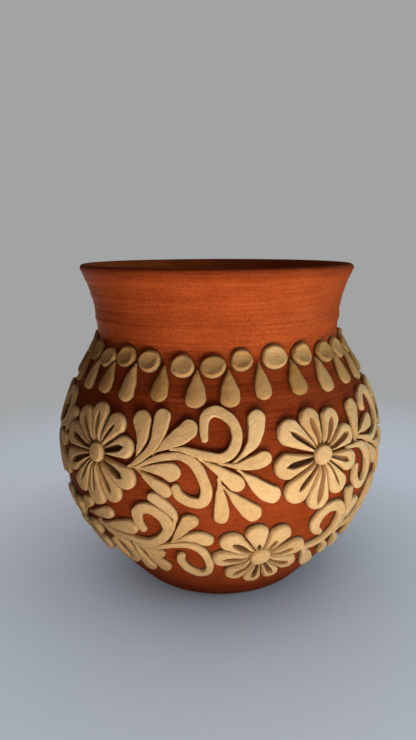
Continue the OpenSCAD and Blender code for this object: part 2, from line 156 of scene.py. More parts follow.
print("steps:", [step.__name__ for step in (new_node, to_range, colour_ramp, seen_rays)])

# %% [markdown]
# ## The floor
#
# The vase stands on a pale table. A floor of that colour under bright lamps would wash out its
# own shadow. So this floor is darker than it looks: a faint glow, which lights nothing and is
# only seen, makes it pale. The glow dims where the vase covers the sky, which leaves a soft
# shadow round the foot. Far out the floor fades away, so that no edge shows.

# %% Lay the floor
# The table's own colour, then the colour and the strength of its glow
PALE_FLOOR = (0.36, 0.38, 0.405)
FLOOR_SHEEN, FLOOR_GLOW = (0.63, 0.69, 0.79), 0.53
# How far the shadow at the foot reaches, and the distances where the floor starts and ends to fade
SHADOW_REACH, FLOOR_FADE = 0.085, (0.17, 0.36)
FLOOR_HALF, FLOOR_Z = 0.6, -0.0002
FLOOR_ROUGH, FLOOR_CLOUD = 0.6, 0.97


def make_floor():
    """A square just under the foot. Noise varies its colour a little, its alpha is a smooth step of the
    distance from the middle, and its glow follows the share of open sky that each point sees."""
    corners = np.array([[-1, -1, 0], [1, -1, 0], [1, 1, 0], [-1, 1, 0]]) * FLOOR_HALF
    corners[:, 2] = FLOOR_Z
    mesh = bpy.data.meshes.new("floor")
    mesh.from_pydata(corners.tolist(), [], [(0, 1, 2, 3)])
    floor = bpy.data.objects.new("floor", mesh)
    bpy.context.scene.collection.objects.link(floor)
    material = bpy.data.materials.new("pale_table")
    material.use_nodes = True
    tree = material.node_tree
    shader = tree.nodes["Principled BSDF"]
    shader.inputs["Roughness"].default_value = FLOOR_ROUGH
    shader.inputs["Emission Color"].default_value = (*FLOOR_SHEEN, 1)
    place = new_node(tree, "ShaderNodeTexCoord").outputs["Object"]
    cloud = new_node(tree, "ShaderNodeTexNoise", Scale=6.0, Detail=2.0)
    tree.links.new(place, cloud.inputs["Vector"])
    dimmer = [c * FLOOR_CLOUD for c in PALE_FLOOR]
    colour = colour_ramp(tree, cloud.outputs["Fac"], [(0.0, (*dimmer, 1)), (1.0, (*PALE_FLOOR, 1))])
    tree.links.new(colour, shader.inputs["Base Color"])
    reach = new_node(tree, "ShaderNodeVectorMath", operation="LENGTH")
    tree.links.new(place, reach.inputs[0])
    fade = to_range(tree, reach.outputs["Value"], *FLOOR_FADE, 1.0, 0.0, "SMOOTHSTEP")
    tree.links.new(fade, shader.inputs["Alpha"])
    open_sky = new_node(tree, "ShaderNodeAmbientOcclusion", Distance=SHADOW_REACH)
    glow = to_range(tree, open_sky.outputs["AO"], 0.0, 1.0, 0.0, FLOOR_GLOW)
    shown = new_node(tree, "ShaderNodeMath", operation="MULTIPLY")
    tree.links.new(seen_rays(tree), shown.inputs[0])
    tree.links.new(glow, shown.inputs[1])
    tree.links.new(shown.outputs[0], shader.inputs["Emission Strength"])
    mesh.materials.append(material)


make_floor()
print("floor:", 2 * FLOOR_HALF, "m wide")

# %% [markdown]
# ## The light
#
# Most of the light on the vase comes up from the table: the undersides of the relief are bright
# and the shoulder is dark. One strong lamp in front would flatten the relief. So three soft lamps
# lie on the table and face up, a card stands low in front, and cool light comes in from the
# right. The world adds a dim light, stronger from low down, and shows a plain grey behind the vase.

# %% Light the room
BACKGROUND = (0.36, 0.37, 0.365)
# The sky's light at the horizon and below, and from 30 degrees up
SKY_LOW, SKY_HIGH = (0.176, 0.166, 0.153), (0.086, 0.079, 0.07)
# Each lamp: name, place, target, size, watts and colour, in metres
LAMPS = [
    ("table_bounce", (0.13, -0.25, 0.001), (0.11, -0.21, 0.2), 0.26, 0.6, (1.0, 0.97, 0.91)),
    ("low_card", (0.26, -0.5, 0.02), (0.0, 0.0, 0.06), 0.24, 0.22, (1.0, 0.97, 0.91)),
    ("back_bounce", (-0.16, 0.30, 0.001), (-0.1599, 0.30, 0.2), 0.34, 2.6, (1.0, 0.95, 0.88)),
    ("near_bounce", (0.02, -0.18, 0.001), (0.01, -0.15, 0.2), 0.16, 0.94, (1.0, 0.97, 0.92)),
    ("window", (0.9, -0.2, 0.24), (0.0, 0.0, 0.07), 0.5, 4.2, (0.5, 0.8, 1.0)),
]


def make_world():
    """A sky whose light falls from the horizon to 30 degrees up, evenly with the sine of that angle, and a
    plain grey that is only seen."""
    world = bpy.data.worlds.new("room")
    world.use_nodes = True
    tree = world.node_tree
    tree.nodes.clear()
    place = new_node(tree, "ShaderNodeTexCoord")
    parts = new_node(tree, "ShaderNodeSeparateXYZ")
    tree.links.new(place.outputs["Generated"], parts.inputs[0])
    colour = colour_ramp(tree, parts.outputs["Z"], [(0.0, (*SKY_LOW, 1)), (0.5, (*SKY_HIGH, 1))])
    sky = new_node(tree, "ShaderNodeBackground", Strength=1.0)
    tree.links.new(colour, sky.inputs["Color"])
    plain = new_node(tree, "ShaderNodeBackground", Color=(*BACKGROUND, 1), Strength=1.0)
    mix = new_node(tree, "ShaderNodeMixShader")
    out = new_node(tree, "ShaderNodeOutputWorld")
    tree.links.new(seen_rays(tree), mix.inputs[0])
    tree.links.new(sky.outputs[0], mix.inputs[1])
    tree.links.new(plain.outputs[0], mix.inputs[2])
    tree.links.new(mix.outputs[0], out.inputs[0])
    bpy.context.scene.world = world


def make_lamp(name, place, target, size, watts, colour):
    """A soft square lamp at a place, turned to face a target. Its side axis is level with the floor."""
    lamp = bpy.data.lights.new(name, "AREA")
    lamp.size = size
    lamp.energy = watts
    lamp.color = colour
    holder = bpy.data.objects.new(name, lamp)
    way = np.array(target, float) - np.array(place, float)
    back = -way / np.linalg.norm(way)
    side = np.cross([0.0, 0.0, 1.0], back)
    side /= np.linalg.norm(side)
    holder.matrix_world = stand(side, np.cross(back, side), back, place)
    holder.visible_camera = False
    bpy.context.scene.collection.objects.link(holder)


make_world()
for lamp in LAMPS:
    make_lamp(*lamp)
bpy.context.scene.view_settings.view_transform = "Standard"

# %% [markdown]
# ## One mesh for every shape
#
# Every surface here is a grid that closes on itself one way and ends in a point the other way:
# the pot turned on its wheel, a bead, and a leaf whose section runs round it. So one function
# turns such grids into meshes. It joins neighbouring rows with quads, closes both ends with a fan
# of triangles, and turns the faces outwards when the enclosed volume comes out negative.

# %% Turn grids into meshes


def closed_faces(rows, cols):
    """Corners of the faces of a grid of rows that close on themselves, then two end points."""
    here = np.arange(rows * cols).reshape(rows, cols)
    ahead = np.roll(here, -1, axis=1)
    quads = np.stack([here[:-1], ahead[:-1], ahead[1:], here[1:]], axis=-1).reshape(-1, 4)
    first = np.stack([np.full(cols, rows * cols), ahead[0], here[0]], axis=-1)
    last = np.stack([np.full(cols, rows * cols + 1), here[-1], ahead[-1]], axis=-1)
    return quads, np.vstack([first, last])


def signed_volume(points, quads, fans):
    """Volume inside the faces: a sixth of the sum of the triple products of their triangles."""
    triangles = np.vstack([quads[:, [0, 1, 2]], quads[:, [0, 2, 3]], fans])
    a, b, c = (points[triangles[:, k]] for k in range(3))
    return np.einsum("ij,ij->i", a, np.cross(b, c)).sum() / 6


def mesh_object(name, grids, material):
    """One object from several closed grids, each (points, first end, last end, {attribute: values})."""
    points, quads, fans, values = [], [], [], {}
    start = 0
    for grid, first, last, marks in grids:
        rows, cols = grid.shape[:2]
        own = np.vstack([grid.reshape(-1, 3), first, last])
        own_quads, own_fans = closed_faces(rows, cols)
        if signed_volume(own - own.mean(axis=0), own_quads, own_fans) < 0:
            own_quads, own_fans = own_quads[:, ::-1], own_fans[:, ::-1]
        points.append(own)
        quads.append(own_quads + start)
        fans.append(own_fans + start)
        for key, mark in marks.items():
            ends = [mark[0].mean(), mark[-1].mean()]
            values.setdefault(key, []).append(np.concatenate([mark.ravel(), ends]))
        start += len(own)
    points, quads, fans = np.vstack(points), np.vstack(quads), np.vstack(fans)
    corners = np.concatenate([quads.ravel(), fans.ravel()])
    sizes = np.concatenate([np.full(len(quads), 4), np.full(len(fans), 3)])
    mesh = bpy.data.meshes.new(name)
    mesh.vertices.add(len(points))
    mesh.vertices.foreach_set("co", (points * MM).ravel())
    mesh.loops.add(len(corners))
    mesh.loops.foreach_set("vertex_index", corners)
    mesh.polygons.add(len(sizes))
    mesh.polygons.foreach_set("loop_start", np.concatenate([[0], np.cumsum(sizes)[:-1]]))
    mesh.polygons.foreach_set("loop_total", sizes)
    mesh.polygons.foreach_set("use_smooth", np.ones(len(sizes), bool))
    for key, parts in values.items():
        mark = mesh.attributes.new(key, "FLOAT", "POINT")
        mark.data.foreach_set("value", np.concatenate(parts).astype(np.float32))
    mesh.update()
    mesh.validate()
    mesh.materials.append(material)
    piece = bpy.data.objects.new(name, mesh)
    bpy.context.scene.collection.objects.link(piece)
    return piece


clay_body = bpy.data.materials.new("thrown_terracotta")
clay_relief = bpy.data.materials.new("cream_clay")
print("materials:", clay_body.name, clay_relief.name)

# %% [markdown]
# ## The curve of the wall
#
# A potter pulls the wall up in three sweeps: out from the foot to the belly, in from the belly to
# the neck, and out again to the lip. Each sweep is one cubic curve, whose ends follow the wall's
# own direction there. A list of measured radii would do as well, but the curve stays smooth and
# needs only a few numbers.

# %% Draw the wall
BODY_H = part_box("body")[1].z / MM
FOOT_R, BELLY_R, NECK_R, LIP_R = 39.5, 72.0, 53.7, 60.0
BELLY_Z, NECK_Z = 64.0, 109.5
WALL_T, LIP_T, FLOOR_T = 4.0, 3.0, 5.0
FOOT_ANGLE, LIP_ANGLE = math.radians(47), math.radians(64)
# How far each sweep keeps the wall's direction at its two ends
FOOT_PULL, BELLY_PULL, SHOULDER_PULL = 26.0, 25.5, 22.5
NECK_PULL, FLARE_PULL, LIP_PULL = 4.0, 11.5, 10.5
SWEEP_STEPS = 120


def cubic(control, t):
    """Cubic curve: the control points weighted by the four products of t and 1 - t."""
    s, t = 1 - t[:, None], t[:, None]
    a, b, c, d = np.array(control, float)
    return s ** 3 * a + 3 * s ** 2 * t * b + 3 * s * t ** 2 * c + t ** 3 * d


def draw_wall():
    """Outer wall as rows of (radius, height), from the foot to where the lip's rounding starts."""
    lip_z = BODY_H - LIP_T / 2 * (1 + math.cos(LIP_ANGLE))
    foot = (FOOT_R, 0.0)
    belly, neck, lip = (BELLY_R, BELLY_Z), (NECK_R, NECK_Z), (LIP_R, lip_z)
    flank = [foot, (FOOT_R + FOOT_PULL * math.cos(FOOT_ANGLE), FOOT_PULL * math.sin(FOOT_ANGLE)),
             (BELLY_R, BELLY_Z - BELLY_PULL), belly]
    shoulder = [belly, (BELLY_R, BELLY_Z + SHOULDER_PULL), (NECK_R, NECK_Z - NECK_PULL), neck]
    flare = [neck, (NECK_R, NECK_Z + FLARE_PULL),
             (LIP_R - LIP_PULL * math.cos(LIP_ANGLE), lip_z - LIP_PULL * math.sin(LIP_ANGLE)), lip]
    t = np.arange(SWEEP_STEPS) / SWEEP_STEPS
    return np.vstack([cubic(flank, t), cubic(shoulder, t), cubic(flare, np.append(t, 1.0))])


def outward_of(line):
    """Unit vectors square to a line of (radius, height), on its right-hand side."""
    step = np.gradient(line, axis=0)
    return np.stack([step[:, 1], -step[:, 0]], axis=1) / np.linalg.norm(step, axis=1)[:, None]


def run_of(line):
    """Running length along a line of points."""
    return np.append(0.0, np.cumsum(np.linalg.norm(np.diff(line, axis=0), axis=1)))


wall = draw_wall()
wall_out = outward_of(wall)
print("wall length:", round(run_of(wall)[-1], 1), "mm")

# %% [markdown]
# ## The section of the pot
#
# Seen in half section, the pot is a flat sole, a foot with a rounded edge, the outer wall, a round
# lip, the inner wall and a floor with a rounded corner. A Solidify modifier could give the wall
# its thickness, but then the lip would be square. Here each stretch is its own short line of
# points, and they are joined in order.

# %% Draw the section
OUTER_ROWS, LIP_ROWS, INNER_ROWS, FLOOR_ROWS = 290, 12, 110, 12
FOOT_ROWS, SOLE_ROWS = 6, 8
FOOT_ROUND, CORNER_RISE, MIDDLE_R = 1.2, 2.0, 2.0


def even_rows(line, count):
    """The same line with evenly spaced points."""
    run = run_of(line)
    at = np.linspace(0, run[-1], count)
    return np.stack([np.interp(at, run, line[:, k]) for k in range(2)], axis=1)


def pot_profile():
    """Half section as (radius, height): the inner wall lies a thickness inside the outer one, the lip is a
    half circle, and the corners at the foot and the floor are quarter circles."""
    outer = even_rows(wall, OUTER_ROWS)
    outer = outer[outer[:, 1] > FOOT_ROUND]
    thick = np.interp(wall[:, 1], [NECK_Z, wall[-1, 1]], [WALL_T, LIP_T])
    inner = (wall - wall_out * thick[:, None])[::-1]
    inner = even_rows(inner[inner[:, 1] > FLOOR_T + CORNER_RISE], INNER_ROWS)
    start = math.atan2(wall_out[-1, 1], wall_out[-1, 0])
    angle = np.linspace(start, start + math.pi, LIP_ROWS + 2)[1:-1, None]
    middle = wall[-1] - wall_out[-1] * LIP_T / 2
    lip = middle + LIP_T / 2 * np.hstack([np.cos(angle), np.sin(angle)])
    bend = np.linspace(0, math.pi / 2, FLOOR_ROWS)[1:]
    edge, rise = inner[-1, 0], inner[-1, 1]
    depth = rise - FLOOR_T
    cove = np.stack([edge - depth * (1 - np.cos(bend)), rise - depth * np.sin(bend)], axis=1)
    basin_r = np.linspace(cove[-1, 0], MIDDLE_R, FLOOR_ROWS)[1:]
    basin = np.stack([basin_r, np.full(FLOOR_ROWS - 1, FLOOR_T)], axis=1)
    bend = np.linspace(0, math.pi / 2, FOOT_ROWS)[:-1]
    foot_r = FOOT_R - FOOT_ROUND + FOOT_ROUND * np.sin(bend)
    foot = np.stack([foot_r, FOOT_ROUND * (1 - np.cos(bend))], axis=1)
    sole_r = np.linspace(MIDDLE_R, FOOT_R - FOOT_ROUND, SOLE_ROWS)[:-1]
    sole = np.stack([sole_r, np.zeros(SOLE_ROWS - 1)], axis=1)
    return np.vstack([sole, foot, outer, lip, inner, cove, basin])


profile = pot_profile()
print("section points:", len(profile))

# %% [markdown]
# ## The thrown pot
#
# The section is turned round the axis. It could be a Screw modifier on a profile. A grid is used
# instead, because the fingers of the potter leave rings on the clay: each ring climbs the wall as
# a shallow spiral, so the radius has to change with the turn as well as with the height. The lip
# isn't quite level either. The clay is also darkened at the foot, on the shoulder and at the lip:
# this is painted shade, and each point of the mesh carries how strong it is.

# %% Throw the pot
TURN_STEPS = 192
# Finger rings: distance from one to the next along the wall, and size
RINGS = [(3.4, 0.045), (2.1, 0.035), (7.5, 0.06)]
# Unevenness: waves in one turn, size, and where they start, then how slowly they lean as they climb
UNEVEN = [(2, 0.10, 0.4), (3, 0.07, 1.9), (5, 0.03, 4.0)]
UNEVEN_CLIMB = 40.0
# Rings and unevenness fade out towards the foot, the lip and the middle, over these lengths
CALM_ENDS, CALM_MIDDLE = 4.0, 20.0
# The broad ring low on the neck: height, half width and how far it stands out
NECK_RING = (118.5, 2.2, 0.5)
LIP_DIP = 2.0
# Strength of the painted shade at heights up the wall: a contact shadow at the foot, shade on the shoulder
# and at the lip
SHADE_LEVELS = [(0, 1.0), (8, 0.85), (14, 0.5), (25, 0.24), (60, 0.53), (80, 0.67), (99, 0.67),
               (107, 0.0), (136.5, 0.0), (139, 0.55), (142, 0.7)]


def throw_pot():
    """The profile turned round the axis. The radius also gets finger rings, which are sine waves of the
    running length that climb one wave a turn, a slow unevenness of a few waves round the turn, and outside
    one broad ring low on the neck, a bell curve of the height. Above the neck the height dips to the
    right, by a smooth step of the height."""
    run = run_of(profile)[:, None]
    turn = np.linspace(0, 2 * math.pi, TURN_STEPS, endpoint=False)[None, :]
    ripple = sum(size * np.sin(2 * math.pi * run / pitch - turn) for pitch, size in RINGS)
    sway = sum(size * np.sin(waves * turn + shift + run / UNEVEN_CLIMB) for waves, size, shift in UNEVEN)
    height = np.repeat(profile[:, 1:], TURN_STEPS, axis=1)
    calm = np.clip(np.minimum(height, BODY_H - height) / CALM_ENDS, 0, 1)
    calm_middle = np.clip(profile[:, :1] / CALM_MIDDLE, 0, 1)
    outside = np.arange(len(profile))[:, None] < len(profile) - INNER_ROWS - 2 * FLOOR_ROWS
    ring_z, ring_wide, ring_out = NECK_RING
    ridge = np.where(outside, ring_out * np.exp(-((height - ring_z) / ring_wide) ** 2), 0.0)
    radius = profile[:, :1] + (ripple + sway) * calm * calm_middle + ridge
    rise = np.clip((height - NECK_Z) / (BODY_H - NECK_Z), 0, 1)
    dipped = height - LIP_DIP * (1 + np.sin(turn)) / 2 * rise ** 2 * (3 - 2 * rise)
    grid = np.stack([radius * np.sin(turn), -radius * np.cos(turn), dipped], axis=-1)
    # Outside, each point carries the strength of the painted shade at its height
    marks = {"painted_shade": np.where(outside, np.interp(height, *zip(*SHADE_LEVELS)), 0.0)}
    return grid, np.array([0, 0, profile[0, 1]]), np.array([0, 0, profile[-1, 1]]), marks


pot = mesh_object("thrown_pot", [throw_pot()], clay_body)
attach(pot, "root")
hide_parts("body")
print("pot faces:", len(pot.data.polygons))

# %% [markdown]
# ## The drawing on the wall
#
# The relief is drawn flat, as a maker would on paper: x runs round the vase and y runs up its
# face, from 0 at the belly to the neck above and the foot below. A projection from the front
# would stretch the pieces at the sides, so each point is carried to the wall by its running
# length and its turn, and then lifted square to the wall.

# %% Carry the drawing to the wall
LEAF_T, BEAD_T, PETAL_T, BUTTON_T = 2.0, 2.3, 2.6, 3.0
# The slip under each piece, and how much a finger takes off its face
SLIP, SMOOTHED = 0.3, 0.06
# Length of the drawing from the belly up to the neck, and down to the foot
SHOULDER_DRAW, FLANK_DRAW = 50.5, 75.0
face_run = run_of(wall + LEAF_T * wall_out)
belly_run, neck_run = face_run[SWEEP_STEPS], face_run[2 * SWEEP_STEPS]
drawn_y = np.where(face_run < belly_run, (face_run - belly_run) * FLANK_DRAW / belly_run,
                   (face_run - belly_run) * SHOULDER_DRAW / (neck_run - belly_run))
wall_lean = np.arctan2(wall_out[:, 1], wall_out[:, 0])


def on_wall(turn, y, lift):
    """Point at a turn in degrees, a height in the drawing and a lift off the wall along its normal."""
    lean = np.interp(y, drawn_y, wall_lean)
    radius = np.interp(y, drawn_y, wall[:, 0]) + lift * np.cos(lean)
    height = np.interp(y, drawn_y, wall[:, 1]) + lift * np.sin(lean)
    angle = np.radians(turn)
    return np.stack([radius * np.sin(angle), -radius * np.cos(angle), height], axis=-1)


print("drawing from", round(drawn_y[0], 1), "to", round(drawn_y[-1], 1))

# %% [markdown]
# ## The outline of a stroke
#
# A leaf, a scroll and a drop all start as a coil of clay that is rolled to a point at its root. On
# paper each is a few places with a width. A poly line through them would show its corners, so a
# smooth line runs through the places, rows lie across it at even distances, and both ends are
# rounded off.

# %% Draw the rows of a stroke
CAP_STEPS, CAP_LAST = 7, math.radians(82)
ROW_SPACING, LEAST_ROWS = 0.75, 6
# Steps between two places when a line is measured, and the step for its slope
FINE_STEPS, SLOPE_STEP = 60, 0.03
# Strokes narrower than a head are spread, and no half width is under the least
HEAD_W, LEAST_HALF = 6.0, 0.6


def smooth_line(places, t):
    """Catmull-Rom line: cubic stretches whose slope at a place is half the step between its neighbours."""
    padded = np.vstack([places[:1], places, places[-1:]])
    i = np.minimum(t.astype(int), len(places) - 2)
    u = (t - i)[:, None]
    a, b, c, d = (padded[i + k] for k in range(4))
    return (b + u * (c - a) / 2 + u ** 2 * (a - 2.5 * b + 2 * c - d / 2)
            + u ** 3 * (1.5 * (b - c) + (d - a) / 2))


def stroke_rows(places, root, spread):
    """Rows across a stroke: [middle, way, end radius, distance past the end, half width], root to tip.
    Rows are evenly spaced along the line, and follow a half circle past each end. The root is first drawn
    out by a length, straight back from its first two places. The half width is half the drawn width, plus
    a spread that falls evenly to nothing at a head's width."""
    places = np.array(places, float)
    back = places[0, :2] - places[1, :2]
    drawn_out = [*(places[0, :2] + back / np.linalg.norm(back) * root), places[0, 2]]
    places = np.vstack([drawn_out, places]) if root else places
    n = len(places) - 1
    fine = np.linspace(0, n, FINE_STEPS * n + 1)
    run = run_of(smooth_line(places, fine)[:, :2])
    count = max(int(run[-1] / ROW_SPACING), LEAST_ROWS)
    t = np.interp(np.linspace(0, run[-1], count), run, fine)
    here = smooth_line(places, t)
    ahead, behind = np.minimum(t + SLOPE_STEP, n), np.maximum(t - SLOPE_STEP, 0)
    way = smooth_line(places, ahead) - smooth_line(places, behind)
    way = way[:, :2] / np.linalg.norm(way[:, :2], axis=1)[:, None]
    half = np.maximum(here[:, 2] / 2 + spread * np.clip(1 - here[:, 2] / HEAD_W, 0, 1), LEAST_HALF)
    angle = np.linspace(0, CAP_LAST, CAP_STEPS + 1)[1:]
    root = [here[0, :2] - way[0] * half[0] * s for s in np.sin(angle[::-1])]
    tip = [here[-1, :2] + way[-1] * half[-1] * s for s in np.sin(angle)]
    middle = np.vstack([root, here[:, :2], tip])
    ways = np.vstack([np.tile(way[0], (CAP_STEPS, 1)), way, np.tile(way[-1], (CAP_STEPS, 1))])
    radius = np.concatenate([np.full(CAP_STEPS, half[0]), half, np.full(CAP_STEPS, half[-1])])
    past = np.concatenate([half[0] * np.sin(angle[::-1]), np.zeros(count), half[-1] * np.sin(angle)])
    return middle, ways, radius, past, np.sqrt(radius ** 2 - past ** 2)


print("rows past each end:", CAP_STEPS)

# %% [markdown]
# ## What every piece of clay shares
#
# Each piece has a rounded edge and a face that a hand left uneven, and it is pressed into the pot.
# Noise could give the unevenness, but a few long waves look more like fingers. The skirt along
# the edge goes into the wall, so that no gap shows from the side. Each point also carries marks
# for its colour and its painted shade: its height, how deep it is carved, and the tone of its piece.

# %% Shape what every piece shares
SINK = 0.5
RIPPLE_WAVES = (9.0, 6.0, 4.2, 3.1)


def rounded(share):
    """Rise of a rounded edge: a quarter circle over a share from 0 to 1, and level beyond."""
    return np.sqrt(1 - (1 - np.clip(share, 0, 1)) ** 2)


def hand_ripple(x, y, seed, size):
    """Soft unevenness from a hand, from 0 to a size: sine waves in seeded directions, added up."""
    local = np.random.default_rng(seed)
    total = np.zeros_like(x)
    for wavelength in RIPPLE_WAVES:
        way, shift = local.uniform(0, 2 * math.pi, 2)
        total += np.sin(2 * math.pi * (x * math.cos(way) + y * math.sin(way)) / wavelength + shift)
    return (total / len(RIPPLE_WAVES) + 1) / 2 * size


def clay_marks(lift, thickness, carved, tone):
    """Marks of a piece: height as a share of its thickness, depth of carving, and one tone."""
    return {"height": np.clip(lift / (SLIP + thickness), 0, 1), "carved": carved,
            "tone": np.full_like(lift, tone)}


def stick_on(x, y, lift, ends, thickness, start, pitch, carved, tone):
    """Rows of a piece carried to the wall. Both sides of each row get one more point, which lies under the
    wall's face, and the two ends are points under it too."""
    skirt = np.full((len(lift), 1), -SINK)
    lift = np.hstack([skirt, lift, skirt])
    x, y, carved = (np.hstack([v[:, :1], v, v[:, -1:]]) for v in (x, y, carved))
    grid = on_wall(start + x * pitch, y, lift)
    first, last = (on_wall(start + e[0] * pitch, e[1], -SINK / 2) for e in ends)
    return grid, first, last, clay_marks(lift, thickness, carved, tone)


print("waves of a hand:", len(RIPPLE_WAVES))

# %% [markdown]
# ## Leaves, scrolls and drops
#
# The coil is pressed flat and smoothed along its edge. A bevelled curve object would give a round
# worm. Here a section is carried along the rows: its height depends only on how far a point lies
# from the edge, so the rim is rounded in the same way all round, and the edge wavers a little.

# %% Shape a stroke of clay
SECTION_STEPS = 20
# Width of the rounded edge, the half width from which a stroke is at full height, and how fast it thins
EDGE_ROUND, FULL_HALF, THINNING = 0.38, 1.1, 0.6
# Looks: how much the face is crowned, and how much thin stretches are spread
SCROLL_LOOK, LEAF_LOOK, DROP_LOOK = (0.08, 0.7), (0.05, 0.45), (0.3, 0.0)
ROOT_REACH, LEAF_RIPPLE = 2.6, 0.2
# Waver of an edge as a share of the width, and how long and how strong its two waves are
WAVER, LONG_WAVE, SHORT_WAVE, SHORT_SHARE = 0.045, 2.1, 0.9, 0.6
WAVER_SEED, TONE_SEED = 900, 500
# Tones of a piece lie between two places on the cream clay's ramp. The low, darker range
# is painted shade, given to the collar's beads and drops
PALE, SHADED_TONES = (0.4, 1.0), (0.0, 0.3)


def stroke(places, start, pitch, look, seed, root=ROOT_REACH, tones=PALE):
    """Stroke of clay: the height over a row is the thickness times a quarter ellipse of the distance to
    the edge, less a crown that grows with the square of the distance from the middle. Thin stretches are
    lower, by a power of their half width. Each side wavers by its own two sine waves along the stroke."""
    crown, spread = look
    middle, way, radius, past, half = stroke_rows(places, root, spread)
    beta = np.linspace(-math.pi / 2, math.pi / 2, SECTION_STEPS + 1)
    across = half[:, None] * np.sin(beta)[None, :]
    from_middle = np.hypot(across, past[:, None])
    shift = np.random.default_rng(seed + WAVER_SEED).uniform(0, 2 * math.pi, 4)
    along = run_of(middle)[:, None]
    left, right = (np.sin(along / LONG_WAVE + shift[i])
                   + SHORT_SHARE * np.sin(along / SHORT_WAVE + shift[i + 1]) for i in (0, 2))
    across = across * (1 + WAVER * np.where(across < 0, left, right))
    rim = rounded((radius[:, None] - from_middle) / np.minimum(EDGE_ROUND, radius)[:, None])
    full = np.minimum(1, radius / FULL_HALF)[:, None] ** THINNING
    x = middle[:, :1] - across * way[:, 1:]
    y = middle[:, 1:] + across * way[:, :1]
    face = 1 - crown * (from_middle / radius[:, None]) ** 2
    lift = (SLIP + LEAF_T - SMOOTHED) * full * rim * face - hand_ripple(x, y, seed, LEAF_RIPPLE) * rim
    ends = [middle[0] - way[0] * (radius[0] - past[0]), middle[-1] + way[-1] * (radius[-1] - past[-1])]
    tone = np.random.default_rng(seed + TONE_SEED).uniform(*tones)
    return stick_on(x, y, lift, ends, LEAF_T, start, pitch, np.zeros_like(lift), tone)


print("section points:", SECTION_STEPS + 3)

# %% [markdown]
# ## Beads and buttons
#
# A bead is a pellet rolled in the palm and pressed on with a thumb, so it is dished, and a little
# wider than it is high. A button stays domed. A flattened sphere would be too even for either.
# Both are worked out in polar form: rings from the middle to the edge, whose radius wavers with
# the angle.

# %% Shape a pellet of clay
PELLET_TURNS, PELLET_RINGS, FIRST_RING = 44, 13, 0.08
# Mean radius as a share of the size, and its waves at two and at three a turn
PELLET_WAVER = (0.97, 0.035, 0.022)
PELLET_ROUND, PELLET_TILT, PELLET_RIPPLE = 1.0, 0.1, 0.18
# How deep beads are dished, from least to most, how far the dish reaches, and their height for their width
BEAD_DISH, DISH_REACH, BEAD_SQUASH = (0.25, 0.65), 0.8, 0.94
BUTTON_DOME = 0.35


def pellet(x, y, size, thickness, start, pitch, seed, dish=0.0, dome=0.0, tones=PALE, squash=1.0):
    """Pellet: the height is a quarter circle of the distance to the edge, plus a tilt. A dish takes most off
    in the middle and a dome takes most off at the edge, both by the square of the distance."""
    local = np.random.default_rng(seed)
    angle = np.linspace(0, 2 * math.pi, PELLET_TURNS, endpoint=False)[None, :]
    shift = local.uniform(0, 2 * math.pi, 4)
    mean, two_waves, three_waves = PELLET_WAVER
    waver = mean + two_waves * np.cos(2 * angle + shift[0]) + three_waves * np.cos(3 * angle + shift[1])
    share = np.sin(np.linspace(FIRST_RING, math.pi / 2, PELLET_RINGS))[:, None]
    edge_r = size / 2 * waver
    rho = edge_r * share
    px, py = x + rho * np.cos(angle), y + squash * rho * np.sin(angle)
    rim = rounded((edge_r - rho) / PELLET_ROUND)
    hollow = dish * np.clip(1 - (share / DISH_REACH) ** 2, 0, 1)
    tilt = PELLET_TILT * (share * np.cos(angle + shift[2]) - 1)
    lift = (SLIP + thickness - SMOOTHED - hollow + tilt - dome * share ** 2) * rim
    lift = lift - hand_ripple(px, py, seed, PELLET_RIPPLE) * rim
    lift = np.vstack([lift, np.full((1, PELLET_TURNS), -SINK)])
    px, py = np.vstack([px, px[-1:]]), np.vstack([py, py[-1:]])
    grid = on_wall(start + px * pitch, py, lift)
    first = on_wall(start + x * pitch, y, lift[0].mean())
    last = on_wall(start + x * pitch, y, -SINK)
    return grid, first, last, clay_marks(lift, thickness, np.zeros_like(lift), local.uniform(*tones))


print("pellet points:", PELLET_TURNS * (PELLET_RINGS + 1))

# %% [markdown]
# ## Petals with a carved slit
#
# Each petal is a plump drop, and a pointed tool has opened a slit in it from the button outwards.
# A cut with a Boolean would leave ragged faces. Instead the columns of the grid follow the slit:
# some lie across it, the others run from its lip to the petal's edge, so the cut stays crisp.

# %% Shape a petal
BUTTON_D = 8.4
PETAL_GAP, WIDEST_HALF = 0.2, math.radians(19.5)
PETAL_ROUND, PETAL_CROWN, PETAL_RIPPLE = 1.0, 0.06, 0.24
# How far a root is tucked under the button, its point, how much lower it is there, and where it has risen
ROOT_TUCK, ROOT_POINT, ROOT_LOWER, ROOT_RISE = 0.5, 0.2, 0.5, 3.5
# Width of a slit at the button and at its widest, as shares, then its least width and greatest depth
SLIT_ROOT, SLIT_FULL, SLIT_LEAST, SLIT_DEPTH = 0.45, 0.77, 0.08, 2.7
# Most of the petal that a slit takes up, how steep its walls are, how round it ends, and the clay left in it
SLIT_LIMIT, SLIT_WALL, SLIT_END, SLIT_FLOOR = 0.6, 4.0, 5, 0.4
# Chance in a slit's width and depth, and how soon it gets deep
SLIT_WIDTHS, SLIT_DEPTHS, SLIT_SOON = (0.92, 1.08), (0.85, 1.0), 2.5
PETAL_ROWS, SLIT_COLS, RIDGE_COLS = 26, 7, 11


